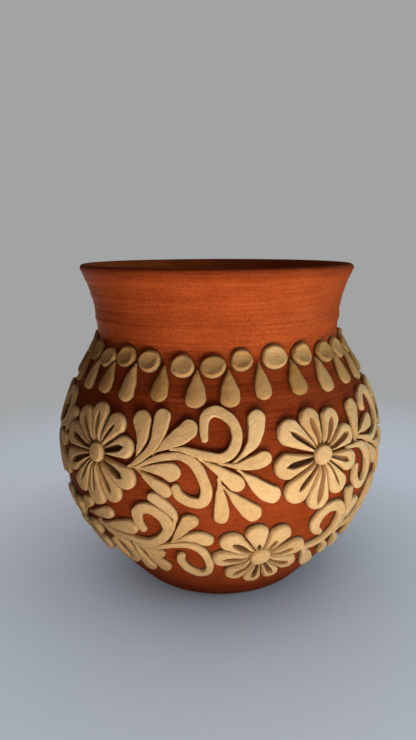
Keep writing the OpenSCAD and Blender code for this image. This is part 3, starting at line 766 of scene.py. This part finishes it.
def petal(at, petals, k, radius, start, pitch, seed):
    """Petal: rows at growing distance r from the flower's middle. Each side is as wide as the sine of half
    the angle to its neighbour, times r, and ends in a quarter ellipse. A slit follows its middle line: it
    widens evenly from the button and ends round. Its walls fall steeply from its lips to a depth of its
    own, but never through the petal."""
    local = np.random.default_rng(seed)
    angles = np.radians([p[0] for p in petals])
    reach_share, slit_reach, slit_half, slit_deep = petals[k][1:]
    apart = np.abs(np.angle(np.exp(1j * (np.roll(angles, 1) - angles))))
    to_left, to_right = (np.sin(min(a / 2, WIDEST_HALF)) for a in (apart[k], np.roll(apart, -1)[k]))
    way = np.array([math.cos(angles[k]), math.sin(angles[k])])
    reach = radius * reach_share
    first_r = BUTTON_D / 2 - ROOT_TUCK
    round_r = reach / (1 + (to_left + to_right) / 2)
    straight = np.linspace(first_r, round_r, PETAL_ROWS)
    angle = np.linspace(0, CAP_LAST, CAP_STEPS + 1)[1:]
    r = np.concatenate([straight, round_r + (reach - round_r) * np.sin(angle)])[:, None]
    past = np.maximum(r - round_r, 0) / (reach - round_r)
    wide_r = np.minimum(r, round_r)
    left, right = (wide_r * share - PETAL_GAP / 2 for share in (to_left, to_right))
    shrink = np.sqrt(1 - past ** 2)

    end = reach * slit_reach
    along = np.clip((r - BUTTON_D / 2) / (end - BUTTON_D / 2), 0, 1)
    swell = (SLIT_ROOT + (1 - SLIT_ROOT) * along) * np.sqrt(1 - along ** SLIT_END) / SLIT_FULL
    slit = np.maximum(slit_half * local.uniform(*SLIT_WIDTHS) * swell, SLIT_LEAST)
    slit = np.minimum(slit, SLIT_LIMIT * np.minimum(left, right) * shrink)
    depth = SLIT_DEPTH * slit_deep * local.uniform(*SLIT_DEPTHS) * np.minimum(swell * SLIT_SOON, 1)

    inner = np.linspace(0, 1, SLIT_COLS)[None, :] * slit
    beta = np.sin(np.linspace(0, math.pi / 2, RIDGE_COLS + 1)[1:])[None, :]
    left_side, right_side = (np.hstack([inner, slit + (half * shrink - slit) * beta])
                             for half in (left, right))
    across = np.hstack([-right_side[:, :0:-1], left_side])
    half = np.where(across < 0, right, left)
    from_middle = np.hypot(across / half, past)
    rim = rounded((1 - from_middle) * half / np.minimum(PETAL_ROUND, half))
    sunk = 1 - ROOT_LOWER * np.clip(1 - (r - first_r) / ROOT_RISE, 0, 1) ** 2
    x = at[0] + r * way[0] - across * way[1]
    y = at[1] + r * way[1] + across * way[0]
    top = (SLIP + PETAL_T - SMOOTHED) * rim * sunk * (1 - PETAL_CROWN * from_middle ** 2)
    top = top - hand_ripple(x, y, seed, PETAL_RIPPLE) * rim
    cut = depth * (1 - np.clip(np.abs(across) / slit, 0, 1) ** SLIT_WALL)
    lift = top - np.minimum(cut, np.maximum(top - SLIT_FLOOR, 0))
    ends = [np.array(at) + way * e for e in (first_r - ROOT_POINT, reach)]
    tone = local.uniform(*PALE)
    return stick_on(x, y, lift, ends, PETAL_T, start, pitch, cut / SLIT_DEPTH, tone)


print("petal columns:", 2 * (SLIT_COLS + RIDGE_COLS) + 1)

# %% [markdown]
# ## The drawing itself
#
# Each leaf or scroll is a short list of places, [x, y, width], from its root to its round tip. They
# could be scattered by chance, but a maker repeats a motif by eye. So the upper band has two kinds
# of sprig and the lower band has two more, and each repeats round the vase.

# %% The upper sprigs
LOOSE_LEAVES = [
    [[-31.8, 11.7, 0.6], [-30.5, 16.8, 3.8], [-31, 21.5, 6.6], [-31.6, 24.2, 8.2]],
    [[-34.6, 7, 0.6], [-30.5, 9.9, 2], [-27, 13.4, 3], [-24.1, 18.4, 5], [-23, 26, 7.2]],
    [[-23.4, 14, 0.6], [-19.7, 16.6, 4.2], [-14.8, 20, 6.8], [-11.7, 22.5, 7.2]],
    [[-31.4, 6.7, 0.6], [-26, 6.8, 2.6], [-21.5, 7, 5], [-17.9, 6.3, 7.2]],
    [[-30.4, 5.2, 0.6], [-26.3, 2.7, 3], [-22.5, 0.2, 4.8], [-20.2, -1.2, 5]],
    [[7, 11.6, 0.6], [9.8, 14, 2.2], [13.1, 18, 5.2], [15, 25.6, 7.2]],
    [[2.4, 9.6, 0.5], [6.5, 9, 2], [11.5, 9.6, 4.8], [16.4, 11, 6]],
    [[-5.2, 10.4, 0.6], [-1, 7.9, 3], [3.2, 4.6, 5.2], [6.1, 2.3, 6]],
    [[8.4, 5.9, 0.6], [11.9, 2.7, 4], [15.5, -0.7, 6.4], [18.9, -3, 7]],
    [[-0.2, 1.9, 1.2], [0.1, -2.6, 3.8], [0.3, -8, 5.8], [0.3, -10.6, 5.8]],
    [[2.6, -0.4, 0.6], [6.1, -4.2, 3.8], [9.9, -7.8, 6.4], [11.8, -9.8, 7]],
]
LOOSE_TOP_SCROLL = [
    [-15.6, 14.8, 0.5], [-12.5, 14.7, 1.6], [-7, 13.3, 2.6], [0, 12, 3.2],
    [4.4, 14.1, 3.8], [6.8, 19.4, 3.9], [4.7, 25.7, 3.7], [-1, 29.2, 3.8],
    [-5.2, 27.2, 3.8], [-6, 22.6, 2.8], [-5.6, 18.9, 1.8],
]
LOOSE_LOW_SCROLL = [
    [-29, 8.3, 0.6], [-24.5, 10.6, 1.7], [-19, 12.1, 2.2], [-14, 12.3, 2.6],
    [-9, 9.6, 3.4], [-6, 4.1, 3.8], [-5, -1.2, 4], [-7, -4.9, 3.8],
    [-11.5, -4.5, 3.8], [-15.2, -2.3, 3.2], [-16.4, 0.5, 2.2],
]
TIGHT_LEAVES = [
    [[-31.6, 11.2, 0.6], [-30.8, 15.6, 3.4], [-29.4, 20.2, 6.2], [-28.9, 22.9, 7.4]],
    [[-28.2, 12.2, 0.6], [-24.5, 13.1, 3.4], [-20.5, 14.3, 5.8], [-18.4, 15, 6.2]],
    [[-21.4, 4.9, 0.6], [-17.4, 0.8, 4], [-14.6, -2.2, 5.6]],
    [[-16.6, 4.9, 0.6], [-11.6, 2.9, 3.6], [-7.2, 1.4, 5.2]],
    [[11.6, 11.5, 0.6], [15, 15.6, 4.2], [17.8, 19.7, 6]],
    [[3.4, 8.2, 0.6], [8, 7.2, 4], [12.2, 7, 6]],
    [[-2.6, 5.9, 0.6], [2, 2.3, 4], [6, -1.2, 5.8]],
    [[8.8, 1.6, 0.6], [12.2, -2.2, 4], [15, -5.2, 5.6]],
    [[-5.8, -2.6, 0.8], [-4.6, -7, 4], [-3.8, -11, 5.6]],
]
TIGHT_TOP_SCROLL = [
    [-26.6, 9.8, 0.6], [-23.5, 8.8, 1.6], [-19.4, 7.4, 2.2], [-14, 8.2, 2.6],
    [-8.6, 11.5, 3], [-5.2, 16.4, 3.4], [-4.8, 21.5, 3.6], [-7.8, 25.8, 3.5],
    [-12.6, 27.3, 3.4], [-17.2, 25.8, 3.5], [-19.5, 22.8, 3], [-19.7, 20.7, 2.2],
]
TIGHT_LOW_SCROLL = [
    [-35.6, 8.3, 0.6], [-32, 8.1, 1.6], [-27.5, 6.7, 2.4], [-24.2, 3.1, 2.9],
    [-23, -1.6, 3.1], [-23.6, -6.6, 3.2], [-26.6, -9.8, 3.2], [-30.6, -9, 3.2],
    [-33.2, -5.6, 2.8], [-33.4, -2.2, 2.4], [-33, -0.4, 1.8],
]
TIGHT_END_SCROLL = [
    [-2.6, 10.5, 0.6], [3, 11.1, 1.8], [8.4, 13.3, 2.6], [11.4, 17.4, 3.1],
    [12, 22.1, 3.6], [9.4, 26.6, 3.8], [5, 27.7, 3.5], [1.8, 24.8, 3], [1.8, 21.1, 1.8],
]
print("upper leaves:", len(LOOSE_LEAVES), "loose,", len(TIGHT_LEAVES), "tight")

# %% [markdown]
# ## The lower sprigs
#
# The lower band lies on the flank, where the vase narrows. Its sprigs could be the upper ones
# made smaller, but they grow another way: one scroll rises beside the flower and a thin one
# curls down in front of it. So they have lists of their own, in the same form.

# %% The lower sprigs
LONG_LEAVES = [
    [[-56.4, -20, 0.6], [-54, -17.4, 3.6], [-52, -15.2, 5.2]],
    [[-51.6, -20.6, 0.6], [-47, -18.8, 3], [-43, -17.2, 5], [-41.6, -16.7, 5.6]],
    [[-45, -23.4, 0.6], [-39, -21.9, 4], [-34, -20.8, 6.4], [-32.4, -20.6, 6.8]],
    [[-31, -30.4, 0.6], [-26.5, -31.5, 2.8], [-23, -32.6, 4]],
    [[-28.4, -34.2, 0.6], [-25.6, -38, 3.8], [-23.4, -42, 5.8]],
    [[-33, -32.8, 0.6], [-32.2, -38.8, 3.4], [-31.2, -44.6, 5.6]],
    [[-15, -15, 0.4], [-14.5, -11.6, 1.3], [-16.9, -7.8, 3.2], [-20.9, -4.4, 4.4]],
]
LONG_TOP_SCROLL = [
    [-43.6, -25.2, 0.6], [-38, -26.3, 1.8], [-31, -26.9, 2.6], [-25, -26.3, 3],
    [-20.3, -23.1, 3.3], [-17.5, -18.1, 3.3], [-18, -13.2, 3.7], [-21.2, -10, 4],
    [-25, -9.6, 4.2], [-27.8, -12.2, 3.6], [-28, -16.1, 2.6], [-26.6, -19.8, 1.6],
]
LONG_BACK_SCROLL = [
    [-46.6, -25, 0.6], [-42.4, -27.6, 1.5], [-38.2, -30.8, 2.1], [-36.3, -35.5, 2.5],
    [-36.6, -40.6, 2.8], [-39.6, -43.6, 3.1], [-43, -41.4, 2.9], [-44.8, -36.8, 2.5],
    [-45, -33, 1.8],
]
SHORT_LEAVES = [
    [[-28.4, -20.2, 0.6], [-28.9, -15.8, 2.2], [-30, -11.6, 3.6], [-30.2, -10.2, 3.8]],
    [[-27.6, -24.4, 0.6], [-26.4, -20.6, 3], [-24.8, -17.6, 5]],
    [[-45, -35.8, 1.4], [-42, -40.6, 5.2], [-39.2, -45.6, 6.6]],
    [[-28.2, -34.2, 0.6], [-25.6, -38, 3.8], [-23.4, -42, 5.8]],
    [[-36, -34, 0.6], [-33.4, -37.6, 3.2], [-31.6, -41.6, 4.8]],
]
SHORT_TOP_SCROLL = [
    [-46, -33.2, 0.6], [-41.5, -32.9, 1.8], [-37, -31.7, 2.4], [-33.6, -28.6, 2.8],
    [-32, -24.2, 3.1], [-32, -19.4, 3.4], [-34.4, -15.6, 3.9], [-38.5, -14.4, 4.2],
    [-42.1, -16, 4], [-44.3, -19.8, 3.6], [-43.6, -23.8, 2.8], [-41, -26.2, 1.8],
]
FRONT_LEAVES = [
    [[-16.2, -23.3, 0.5], [-13.6, -18.8, 2.8], [-10.6, -14.4, 5.2], [-9.8, -13.2, 5.8]],
    [[-14.4, -23.1, 0.5], [-11.4, -21.1, 2.6], [-7.6, -20.6, 4.8], [-5, -21.8, 5.4]],
]
FRONT_SCROLL = [
    [-28, -29.2, 0.6], [-22, -27.9, 1.2], [-16.5, -25.8, 1.7], [-11.5, -24.9, 2],
    [-7.4, -27.2, 2], [-5.2, -31.8, 2], [-4.4, -37.4, 2.1], [-5.6, -42.4, 2.4],
    [-9.2, -44.2, 2.5], [-13.2, -41.2, 2.3], [-15.2, -36, 2.1], [-14.6, -32, 2.3],
]
print("lower leaves:", len(LONG_LEAVES), "long,", len(SHORT_LEAVES), "short")

# %% [markdown]
# ## The flowers and the collar
#
# A flower could be one petal, repeated at even angles. On the vase the petals were set by eye,
# so each has its own angle, reach and slit here. In the same way the beads and drops of the
# collar stray a little from an even row.

# %% The flowers and the collar
UPPER_FLOWER_AT, UPPER_FLOWER_R = (-52.0, 8.9), 20.0
LOWER_FLOWER_AT, LOWER_FLOWER_R = (14.0, -32.8), 17.5
# Each petal: angle in degrees, reach and slit's end as shares, slit's half width in mm, its depth as a share
TEN_PETALS = [
    (98, 1.01, 0.78, 1.4, 0.6), (56, 0.98, 0.74, 0.9, 0.8), (18, 0.95, 0.76, 1.5, 1.0),
    (-27, 1.07, 0.74, 1.9, 1.0), (-61, 1.06, 0.78, 1.6, 1.0), (-95, 1.14, 0.72, 0.9, 0.9),
    (-125, 1.13, 0.72, 0.9, 0.8), (-155, 1.14, 0.8, 1.6, 0.8), (167, 1.15, 0.8, 1.4, 1.0),
    (133, 1.07, 0.82, 1.5, 0.8),
]
NINE_PETALS = [
    (104, 0.96, 0.78, 1.5, 0.5), (61, 0.95, 0.8, 1.4, 0.6), (21, 0.94, 0.84, 1.3, 0.6),
    (-21, 0.93, 0.74, 1.2, 0.55), (-61, 0.97, 0.8, 0.7, 0.9), (-98, 1.1, 0.86, 1.5, 0.55),
    (-135, 1.11, 0.74, 1.1, 1.0), (-173, 1.06, 0.76, 1.3, 1.0), (142, 1.11, 0.76, 1.1, 0.85),
]
LOWER_PETALS = [
    (99, 1, 0.5, 0.8, 0.9), (63, 0.98, 0.62, 1.0, 0.6), (11, 1, 0.72, 1.5, 0.65),
    (-32, 1.05, 0.78, 1.9, 0.65), (-63, 1.02, 0.82, 1.2, 0.8), (-95, 1.03, 0.82, 1.3, 0.95),
    (-131, 1, 0.82, 1.5, 0.75), (178, 1, 0.76, 1.7, 0.95), (136, 1.07, 0.74, 1.7, 0.9),
]
# Width in the drawing of one motif of the upper band, and of each motif of the lower band
UPPER_PANEL = 93.0
LOWER_PANELS = [82, 78, 76.7, 76.6, 76.7]
# The motifs that have a loose upper sprig, and those that have a long lower one
LOOSE_PANELS, LONG_PANELS = (1, 3), (1,)
BEAD_COUNT, BEAD_D, BEAD_RISE, COLLAR_START = 29, 9.6, 47.4, -50.8
DROP_LEN, DROP_W, DROP_BELOW = 14.2, 6.8, 1.6
# A drop's width on its way down, both as shares
DROP_SHAPE = [(0.0, 0.14), (0.22, 0.5), (0.5, 0.88)]
# How far beads stray from an even row: along it, upwards, and in width
BEAD_STRAY = [
    (0.2, -1, 0), (-1.2, 0.7, 0.2), (-1.5, 0, 0.1), (0.1, -1.2, 0.1), (-0.7, -1.2, 0.1),
    (-2.2, 0.9, -0.7), (-1.2, 1.2, 0.8), (-0.7, 0.9, 0.1), (0.3, 0.1, 0.4), (-0.5, 0, 0.2),
]
# How far drops stray: upwards, in length, and in width
DROP_STRAY = [
    (0, -1.1, -0.2), (0, 1.3, -0.6), (1.4, 0, -0.6), (0, 0.2, 0), (0, 0, 0),
    (0, 0, -1.1), (0, 0, -0.2), (0, 0.2, -0.5), (0, -0.4, -0.5), (0, 0, -0.2),
]
print("petals:", len(TEN_PETALS), len(NINE_PETALS), len(LOWER_PETALS), "beads:", BEAD_COUNT)

# %% [markdown]
# ## Setting the collar
#
# The pieces of one group share a mesh and a node's name, so that a reader of the model can pick
# out the beads, the petals of one flower or the leaves of one sprig. One mesh for all would be
# lighter, but could not be taken apart. Each group rides on the vase and takes the place of its
# plain solid. The collar comes first: beads round the neck, and drops that hang between them.

# %% Set the collar
pieces = []
rng = np.random.default_rng(7)
BEAD_SEED, DROP_SEED = 100, 200


def set_on_pot(node, grids):
    """One group of clay pieces, standing for the node of the same name."""
    piece = mesh_object(node + "_clay", grids, clay_relief)
    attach(piece, "root")
    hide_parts(node)
    pieces.append(piece)


collar_mm = 2 * math.pi * np.interp(BEAD_RISE, drawn_y, wall[:, 0]) / 360
bead_index = np.arange(BEAD_COUNT)
stray = np.array(BEAD_STRAY)[bead_index % len(BEAD_STRAY)]
bead_turn = COLLAR_START + 360 / BEAD_COUNT * bead_index + stray[:, 0] / collar_mm
bead_y = BEAD_RISE + stray[:, 1]
bead_size = BEAD_D + stray[:, 2]
# Beads and drops both take the darker tones of the cream clay: painted shade
set_on_pot("collar_beads", [
    pellet(0, bead_y[k], bead_size[k], BEAD_T, bead_turn[k], 1 / collar_mm, BEAD_SEED + k,
           dish=rng.uniform(*BEAD_DISH), tones=SHADED_TONES, squash=BEAD_SQUASH)
    for k in bead_index])

right_edge = bead_turn + bead_size / 2 / collar_mm
left_edge = np.roll(bead_turn - bead_size / 2 / collar_mm, -1)
left_edge[-1] += 360
drop_turn = (right_edge + left_edge) / 2
drop_rise, drop_longer, drop_wider = np.array(DROP_STRAY)[bead_index % len(DROP_STRAY)].T
drop_top = np.minimum(bead_y, np.roll(bead_y, -1)) - DROP_BELOW + drop_rise
drop_reach, drop_wide = DROP_LEN + drop_longer, DROP_W + drop_wider
drops = []
for k, (turn, top, reach, wide) in enumerate(zip(drop_turn, drop_top, drop_reach, drop_wide)):
    places = [[0, top - reach * down, wide * share] for down, share in DROP_SHAPE]
    places.append([0, top - reach + wide / 2, wide])
    drops.append(stroke(places, turn, 1 / collar_mm, DROP_LOOK, DROP_SEED + k, root=0.0, tones=SHADED_TONES))
set_on_pot("collar_drops", drops)
print("collar:", BEAD_COUNT, "beads and drops")

# %% [markdown]
# ## Setting the flowers and sprigs
#
# Each band repeats five times round the vase. Copies of one motif, turned round the axis, would
# come out as alike as prints. Here every piece is shaped anew from the drawing with a seed of its
# own, so its waver, unevenness and tone differ, and the lower motifs differ in width too.

# %% Set the flowers and sprigs
PANELS = len(LOWER_PANELS)
PANEL_SEEDS, BUTTON_SEED = 1000, 50
upper_pitch = 360 / PANELS / UPPER_PANEL
lower_pitch = 360 / sum(LOWER_PANELS)


def set_flower(name, at, petals, radius, start, pitch, seed):
    """Petals round a button, as two groups."""
    shaped = [petal(at, petals, k, radius, start, pitch, seed + k) for k in range(len(petals))]
    set_on_pot(name + "_petals", shaped)
    button = pellet(*at, BUTTON_D, BUTTON_T, start, pitch, seed + BUTTON_SEED, dome=BUTTON_DOME)
    set_on_pot(name + "_button", [button])


def set_strokes(node, strokes, start, pitch, look, seed):
    """A group of leaves or scrolls."""
    set_on_pot(node, [stroke(p, start, pitch, look, seed + i) for i, p in enumerate(strokes)])


for k in range(1, PANELS + 1):
    loose, long = k in LOOSE_PANELS, k in LONG_PANELS
    # Every group of a motif counts its seeds from a number of its own
    seed = PANEL_SEEDS * k

    name, start, pitch = f"upper_sprig_{k}_", (k - 1) * 360 / PANELS, upper_pitch
    petals = TEN_PETALS if loose else NINE_PETALS
    top_scrolls = [LOOSE_TOP_SCROLL] if loose else [TIGHT_TOP_SCROLL, TIGHT_END_SCROLL]
    low_scroll = LOOSE_LOW_SCROLL if loose else TIGHT_LOW_SCROLL
    leaves = LOOSE_LEAVES if loose else TIGHT_LEAVES
    set_flower(f"upper_flower_{k}", UPPER_FLOWER_AT, petals, UPPER_FLOWER_R, start, pitch, seed)
    set_strokes(name + "top_scrolls", top_scrolls, start, pitch, SCROLL_LOOK, seed + 100)
    set_strokes(name + "low_scroll", [low_scroll], start, pitch, SCROLL_LOOK, seed + 110)
    set_strokes(name + "leaves", leaves, start, pitch, LEAF_LOOK, seed + 120)

    fit = LOWER_PANELS[k - 1] / LOWER_PANELS[0 if long else 1]
    name, pitch = f"lower_sprig_{k}_", lower_pitch * fit
    start = lower_pitch * (sum(LOWER_PANELS[:k]) - LOWER_PANELS[0] + LOWER_FLOWER_AT[0] * (1 - fit))
    top_scroll = LONG_TOP_SCROLL if long else SHORT_TOP_SCROLL
    low_scrolls = [FRONT_SCROLL, LONG_BACK_SCROLL] if long else [FRONT_SCROLL]
    leaves = (LONG_LEAVES if long else SHORT_LEAVES) + FRONT_LEAVES
    set_flower(f"lower_flower_{k}", LOWER_FLOWER_AT, LOWER_PETALS, LOWER_FLOWER_R, start, pitch, seed + 200)
    set_strokes(name + "top_scroll", [top_scroll], start, pitch, SCROLL_LOOK, seed + 300)
    set_strokes(name + "low_scrolls", low_scrolls, start, pitch, SCROLL_LOOK, seed + 310)
    set_strokes(name + "leaves", leaves, start, pitch, LEAF_LOOK, seed + 320)
print("relief groups:", len(pieces), "faces:", sum(len(p.data.polygons) for p in pieces))

# %% [markdown]
# ## Effects that the clays share
#
# Both clays are matte and grainy, and differ only in how much. Each could have its own noises, but
# then they would have to be kept alike by hand. So the grain is a node group with its own input,
# placed in each material. The lines that a wheel leaves are a second group. Both read Object
# coordinates, which stay with the vase.

# %% Build the grain and the throwing lines
GRAINS = {
    "Pores": {"Scale": 1400.0, "Detail": 4.0, "Roughness": 0.65},
    "Smears": {"Scale": 260.0, "Detail": 3.0, "Roughness": 0.6, "Distortion": 1.2},
    "Clouds": {"Scale": 55.0, "Detail": 4.0, "Roughness": 0.6},
}
LINES = {"Fine": (55, 55, 1800), "Broad": (9, 9, 420)}


def new_group(name, inputs, outputs):
    """A shader node group with named number inputs and outputs."""
    group = bpy.data.node_groups.new(name, "ShaderNodeTree")
    for label, value in inputs.items():
        socket = group.interface.new_socket(label, in_out="INPUT", socket_type="NodeSocketFloat")
        socket.default_value = value
    for label in outputs:
        group.interface.new_socket(label, in_out="OUTPUT", socket_type="NodeSocketFloat")
    return group, new_node(group, "NodeGroupInput"), new_node(group, "NodeGroupOutput")


def build_grain():
    """Clay grain: fine pores, smears as wide as a fingertip, and broad clouds of tone. Only the pores are
    scaled by the group's input."""
    group, source, sink = new_group("clay_grain", {"Pore size": 1.0}, GRAINS)
    place = new_node(group, "ShaderNodeTexCoord").outputs["Object"]
    scale = new_node(group, "ShaderNodeVectorMath", operation="SCALE")
    group.links.new(place, scale.inputs[0])
    group.links.new(source.outputs["Pore size"], scale.inputs["Scale"])
    for label, values in GRAINS.items():
        noise = new_node(group, "ShaderNodeTexNoise", **values)
        group.links.new(scale.outputs[0] if label == "Pores" else place, noise.inputs["Vector"])
        group.links.new(noise.outputs["Fac"], sink.inputs[label])
    return group


def build_lines():
    """Throwing lines: noise that is squeezed in height, so that it draws long level streaks."""
    group, _, sink = new_group("throwing_lines", {}, LINES)
    place = new_node(group, "ShaderNodeTexCoord").outputs["Object"]
    for label, stretch in LINES.items():
        squeeze = new_node(group, "ShaderNodeVectorMath", operation="MULTIPLY")
        squeeze.inputs[1].default_value = stretch
        noise = new_node(group, "ShaderNodeTexNoise", Scale=1.0, Detail=3.0, Roughness=0.55)
        group.links.new(place, squeeze.inputs[0])
        group.links.new(squeeze.outputs[0], noise.inputs["Vector"])
        group.links.new(noise.outputs["Fac"], sink.inputs[label])
    return group


grain_group = build_grain()
lines_group = build_lines()
print("groups:", grain_group.name, lines_group.name)

# %% [markdown]
# ## The red clay
#
# Red clay that was ribbed on the wheel shows fine level streaks, a little darker and lighter than
# each other, and hardly any gloss. One flat colour would look like plastic, and streaks from an
# image would show a seam. So the streaks come from noise and drive both the colour and the bump.
# The shade that the mesh carries is painted on: it darkens the foot, the shoulder and the lip.

# %% Mix the red clay
RED_DEEP, RED_BRIGHT, WHITE = (173, 73, 29), (192, 87, 38), (1.0, 1.0, 1.0, 1.0)
# The tint of the painted shade at full strength: a contact shadow at the foot, shade on the shoulder and at
# the lip
PAINTED_SHADE_TINT = (0.42, 0.33, 0.29, 1.0)
CLAY_GLOSS = 0.05


def srgb(r, g, b):
    """Screen colour, 0 to 255, as the linear colour that shaders use."""
    c = np.array([r, g, b]) / 255
    return (*np.where(c <= 0.04045, c / 12.92, ((c + 0.055) / 1.055) ** 2.4).tolist(), 1.0)


def blend_colours(tree, mode, share, a, b):
    """Two colours mixed in a mode, where share is a number or a socket, and so is colour b."""
    node = new_node(tree, "ShaderNodeMix", data_type="RGBA", blend_type=mode)
    if isinstance(share, (int, float)):
        node.inputs["Factor"].default_value = share
    else:
        tree.links.new(share, node.inputs["Factor"])
    tree.links.new(a, node.inputs[6])
    if isinstance(b, tuple):
        node.inputs[7].default_value = b
    else:
        tree.links.new(b, node.inputs[7])
    return node.outputs[2]


def darken(tree, colour, share, source, low, high, shade):
    """A colour times a ramp that goes from a shade, where the source is low, to white, where it is high."""
    ramp = colour_ramp(tree, source, [(low, (*shade, 1.0)), (high, WHITE)])
    return blend_colours(tree, "MULTIPLY", share, colour, ramp)


def bump(tree, height, strength, depth, normal=None):
    """A bump of a depth in metres, on top of another normal if there is one."""
    node = new_node(tree, "ShaderNodeBump", Strength=strength, Distance=depth)
    tree.links.new(height, node.inputs["Height"])
    if normal is not None:
        tree.links.new(normal, node.inputs["Normal"])
    return node.outputs["Normal"]


def carried(tree, name):
    """A value that the mesh carries."""
    return new_node(tree, "ShaderNodeAttribute", attribute_name=name).outputs["Fac"]


def mix_red_clay(material):
    """Streaked red clay: cloudy base, level streaks and bands, dark pores, and painted shade over them."""
    material.use_nodes = True
    tree = material.node_tree
    shader = tree.nodes["Principled BSDF"]
    shader.inputs["Specular IOR Level"].default_value = CLAY_GLOSS
    grain = new_node(tree, "ShaderNodeGroup", node_tree=grain_group, Pore_size=1.0).outputs
    lines = new_node(tree, "ShaderNodeGroup", node_tree=lines_group).outputs
    colour = colour_ramp(tree, grain["Clouds"], [(0.3, srgb(*RED_DEEP)), (0.7, srgb(*RED_BRIGHT))])
    colour = darken(tree, colour, 1.0, lines["Fine"], 0.35, 0.65, (0.76, 0.72, 0.7))
    colour = darken(tree, colour, 1.0, lines["Broad"], 0.3, 0.7, (0.9, 0.88, 0.87))
    colour = darken(tree, colour, 0.8, grain["Pores"], 0.35, 0.56, (0.6, 0.56, 0.53))
    # Painted shade: darker at the foot, on the shoulder and at the lip, by the strength the mesh carries
    colour = blend_colours(tree, "MULTIPLY", carried(tree, "painted_shade"), colour, PAINTED_SHADE_TINT)
    tree.links.new(colour, shader.inputs["Base Color"])
    tree.links.new(to_range(tree, lines["Fine"], 0.3, 0.7, 0.72, 0.9), shader.inputs["Roughness"])
    normal = bump(tree, lines["Fine"], 0.5, 0.0004)
    normal = bump(tree, grain["Pores"], 0.45, 0.0004, normal)
    tree.links.new(normal, shader.inputs["Normal"])


mix_red_clay(clay_body)
print("red clay nodes:", len(clay_body.node_tree.nodes))

# %% [markdown]
# ## The cream clay
#
# The relief is a paler, buff clay. Each piece has its own tone. Its slits are darkened with painted
# shade, and where it meets the pot a thin dark line shows: partly dark slip, partly painted shade in
# the crease. Painted masks could place all that, but they would need a picture for every piece.
# Here the meshes carry three values of their own instead: the height over the wall, how deep a slit
# is carved, and a tone for each piece.

# %% Mix the cream clay
# The lowest stop is painted shade: only the collar's beads and drops take tones below 0.4
TONES = [(0.0, srgb(175, 127, 71)), (0.4, srgb(217, 171, 116)), (1.0, srgb(228, 185, 131))]
# Colours of painted shade: the dark line low at the wall (also dark slip), at a slit's lips, and deep in a
# slit
SLIP_AND_SHADE_LINE, SLIT_LIP_SHADE, SLIT_DEEP_SHADE = srgb(36, 17, 9), srgb(150, 100, 54), srgb(70, 42, 22)


def mix_cream_clay(material):
    """Buff clay: a tone for each piece, with clouds, smears and pores. It is darkest low at the wall, where
    the joining clay shows dark and painted shade lies in the crease. A slit gets painted shade in two
    steps, first at its lip and then towards its floor."""
    material.use_nodes = True
    tree = material.node_tree
    shader = tree.nodes["Principled BSDF"]
    shader.inputs["Specular IOR Level"].default_value = CLAY_GLOSS
    grain = new_node(tree, "ShaderNodeGroup", node_tree=grain_group, Pore_size=0.8).outputs
    colour = colour_ramp(tree, carried(tree, "tone"), TONES)
    colour = darken(tree, colour, 1.0, grain["Clouds"], 0.3, 0.7, (0.92, 0.91, 0.89))
    colour = darken(tree, colour, 0.6, grain["Smears"], 0.3, 0.6, (0.84, 0.81, 0.77))
    colour = darken(tree, colour, 0.55, grain["Pores"], 0.3, 0.55, (0.7, 0.67, 0.63))
    # Dark slip and painted shade: the colour goes dark low at the wall, where a piece meets the pot
    slip_and_shade = to_range(tree, carried(tree, "height"), 0.08, 0.5, 0.95, 0.0)
    colour = blend_colours(tree, "MIX", slip_and_shade, colour, SLIP_AND_SHADE_LINE)
    # Painted shade in the slits: lighter brown at the lips, dark towards the floor
    opened_shade = to_range(tree, carried(tree, "carved"), 0.02, 0.2, 0.0, 0.8)
    colour = blend_colours(tree, "MIX", opened_shade, colour, SLIT_LIP_SHADE)
    deep_shade = to_range(tree, carried(tree, "carved"), 0.3, 0.85, 0.0, 0.85)
    colour = blend_colours(tree, "MIX", deep_shade, colour, SLIT_DEEP_SHADE)
    tree.links.new(colour, shader.inputs["Base Color"])
    tree.links.new(to_range(tree, grain["Clouds"], 0.3, 0.7, 0.7, 0.85), shader.inputs["Roughness"])
    normal = bump(tree, grain["Smears"], 0.4, 0.0012)
    normal = bump(tree, grain["Pores"], 0.35, 0.0004, normal)
    tree.links.new(normal, shader.inputs["Normal"])


mix_cream_clay(clay_relief)
print("cream clay nodes:", len(clay_relief.node_tree.nodes))
